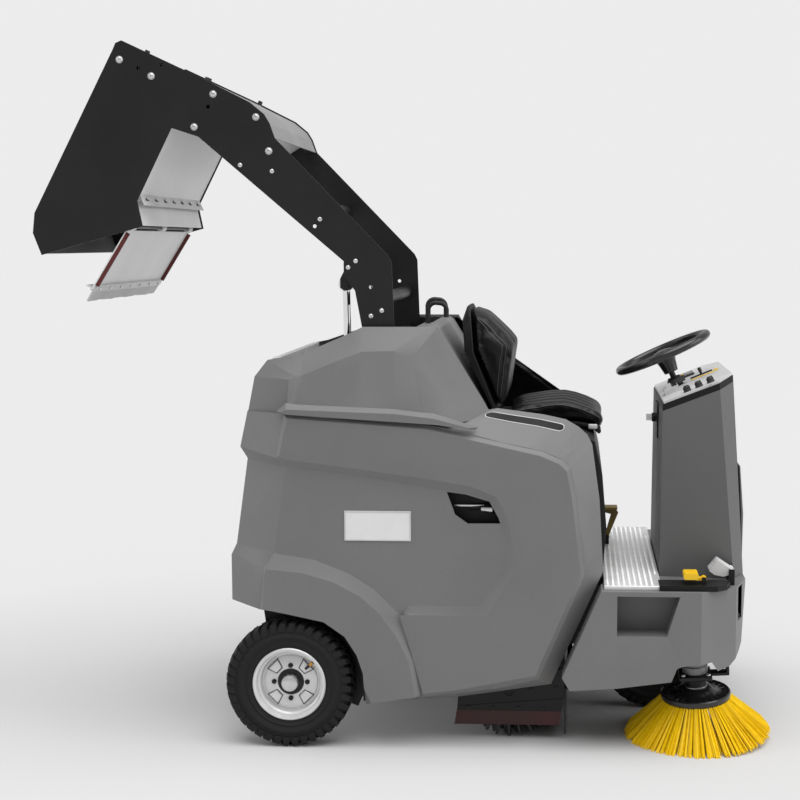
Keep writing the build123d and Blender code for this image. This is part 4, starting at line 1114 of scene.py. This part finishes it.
def lip_clamps():
    """Black clamp strips with bolts over the upper part of the side lips."""
    outline = [(p.x, p.z) for p in (at(x, 0, z) for x, z in ((522, 96), (858, 96), (866, 139), (525, 110)))]
    bm = prism(outline, 0.4052 + SHIFT.y, 0.4075 + SHIFT.y)
    piece("lip_clamps", both_sides(bm), frame_black, "chassis", smooth=35)
    heads = bmesh.new()
    for x in (560, 640, 720, 800):
        head = round_bar(0.006, 0.004, 6)
        join(heads, rounded(head, 0.001, 1), turn_to((0, 1, 0), at(x, 407, 106)))
    piece("lip_clamp_bolts", both_sides(heads), coat_black, "chassis", smooth=35)


lip_clamps()


def intake_details():
    """Light bar and pipe end that show inside each air intake."""
    bm = bmesh.new()
    bar = block((0.110, 0.004, 0.006), at(575, 470, 772), 0.0015, 2)
    join(bm, bar)
    tube = spun([(0.0085, -0.02), (0.011, -0.02), (0.011, 0.018), (0.0085, 0.018)], axis="z", steps=32)
    join(bm, tube, turn_to((0.93, 0.36, 0), at(628, 476, 762)))
    piece("intake_pipes", both_sides(bm), zinc, "chassis", smooth=35)


intake_details()


def plate_frames():
    """Thin raised border round each blank name plate."""
    bm = bmesh.new()
    for x0, x1, z0, z1 in ((180, 388, 664, 668), (180, 388, 754, 758), (180, 184, 668, 754),
                           (384, 388, 668, 754)):
        middle = at((x0 + x1) / 2, 505.6, (z0 + z1) / 2)
        bar = block(((x1 - x0) / 1000, 0.0016, (z1 - z0) / 1000), middle, 0.0004, 1)
        join(bm, bar)
    piece("plate_borders", both_sides(bm), panel_grey, "chassis", smooth=35)


plate_frames()


# ------------------------------------------------------------------ stage
def stage_floor():
    """Large flat pale floor."""
    bm = bmesh.new()
    bmesh.ops.create_grid(bm, x_segments=1, y_segments=1, size=400)
    mesh = bpy.data.meshes.new("floor")
    bm.to_mesh(mesh)
    bm.free()
    floor = bpy.data.objects.new("floor", mesh)
    bpy.context.scene.collection.objects.link(floor)
    mat, made, links, main = tree("floor_white")
    cloud = add(made, "ShaderNodeTexNoise", Scale=3.0, Detail=2.0)
    shade = add(made, "ShaderNodeMapRange")
    shade.inputs["To Min"].default_value = FLOOR_WHITE * 0.998
    shade.inputs["To Max"].default_value = FLOOR_WHITE * 1.002
    links.new(cloud.outputs["Fac"], shade.inputs["Value"])
    links.new(shade.outputs["Result"], main.inputs["Base Color"])
    main.inputs["Roughness"].default_value = 1.0
    main.inputs["Specular IOR Level"].default_value = 0.0
    floor.data.materials.append(mat)


BACKDROP = 0.84       # brightness of the backdrop, and so of the floor under it
AMBIENT = 0.46        # light that the room itself gives
SUNS = {              # name: (direction the light comes from, strength, softness in degrees)
    "top_light": ((0.12, -0.24, 1.0), 2.6, 60),
    "front_light": ((1.0, -0.10, 0.35), 1.0, 40),
    "rear_light": ((-1.0, -0.05, 0.45), 0.7, 40),
}
# every sun falls evenly on the whole floor, so this whiteness makes floor and backdrop one tone
FLOOR_WHITE = BACKDROP / (AMBIENT + sum(Vector(way).normalized().z * power / math.pi
                                         for way, power, _ in SUNS.values()))
stage_floor()
world = bpy.data.worlds.new("studio")
world.use_nodes = True
sky = world.node_tree.nodes["Background"]
sky.inputs["Color"].default_value = (1, 1, 1, 1)
rays = world.node_tree.nodes.new("ShaderNodeLightPath")
level = world.node_tree.nodes.new("ShaderNodeMapRange")
level.inputs["To Min"].default_value = AMBIENT
level.inputs["To Max"].default_value = BACKDROP
world.node_tree.links.new(rays.outputs["Is Camera Ray"], level.inputs["Value"])
world.node_tree.links.new(level.outputs["Result"], sky.inputs["Strength"])
bpy.context.scene.world = world
for name, (way, power, soft) in SUNS.items():
    light = bpy.data.lights.new(name, "SUN")
    light.energy = power
    light.angle = math.radians(soft)
    sun = bpy.data.objects.new(name, light)
    sun.location = Vector(way) * 4
    sun.rotation_euler = Vector(way).to_track_quat("Z", "Y").to_euler()
    bpy.context.scene.collection.objects.link(sun)
bpy.context.scene.view_settings.view_transform = "Standard"
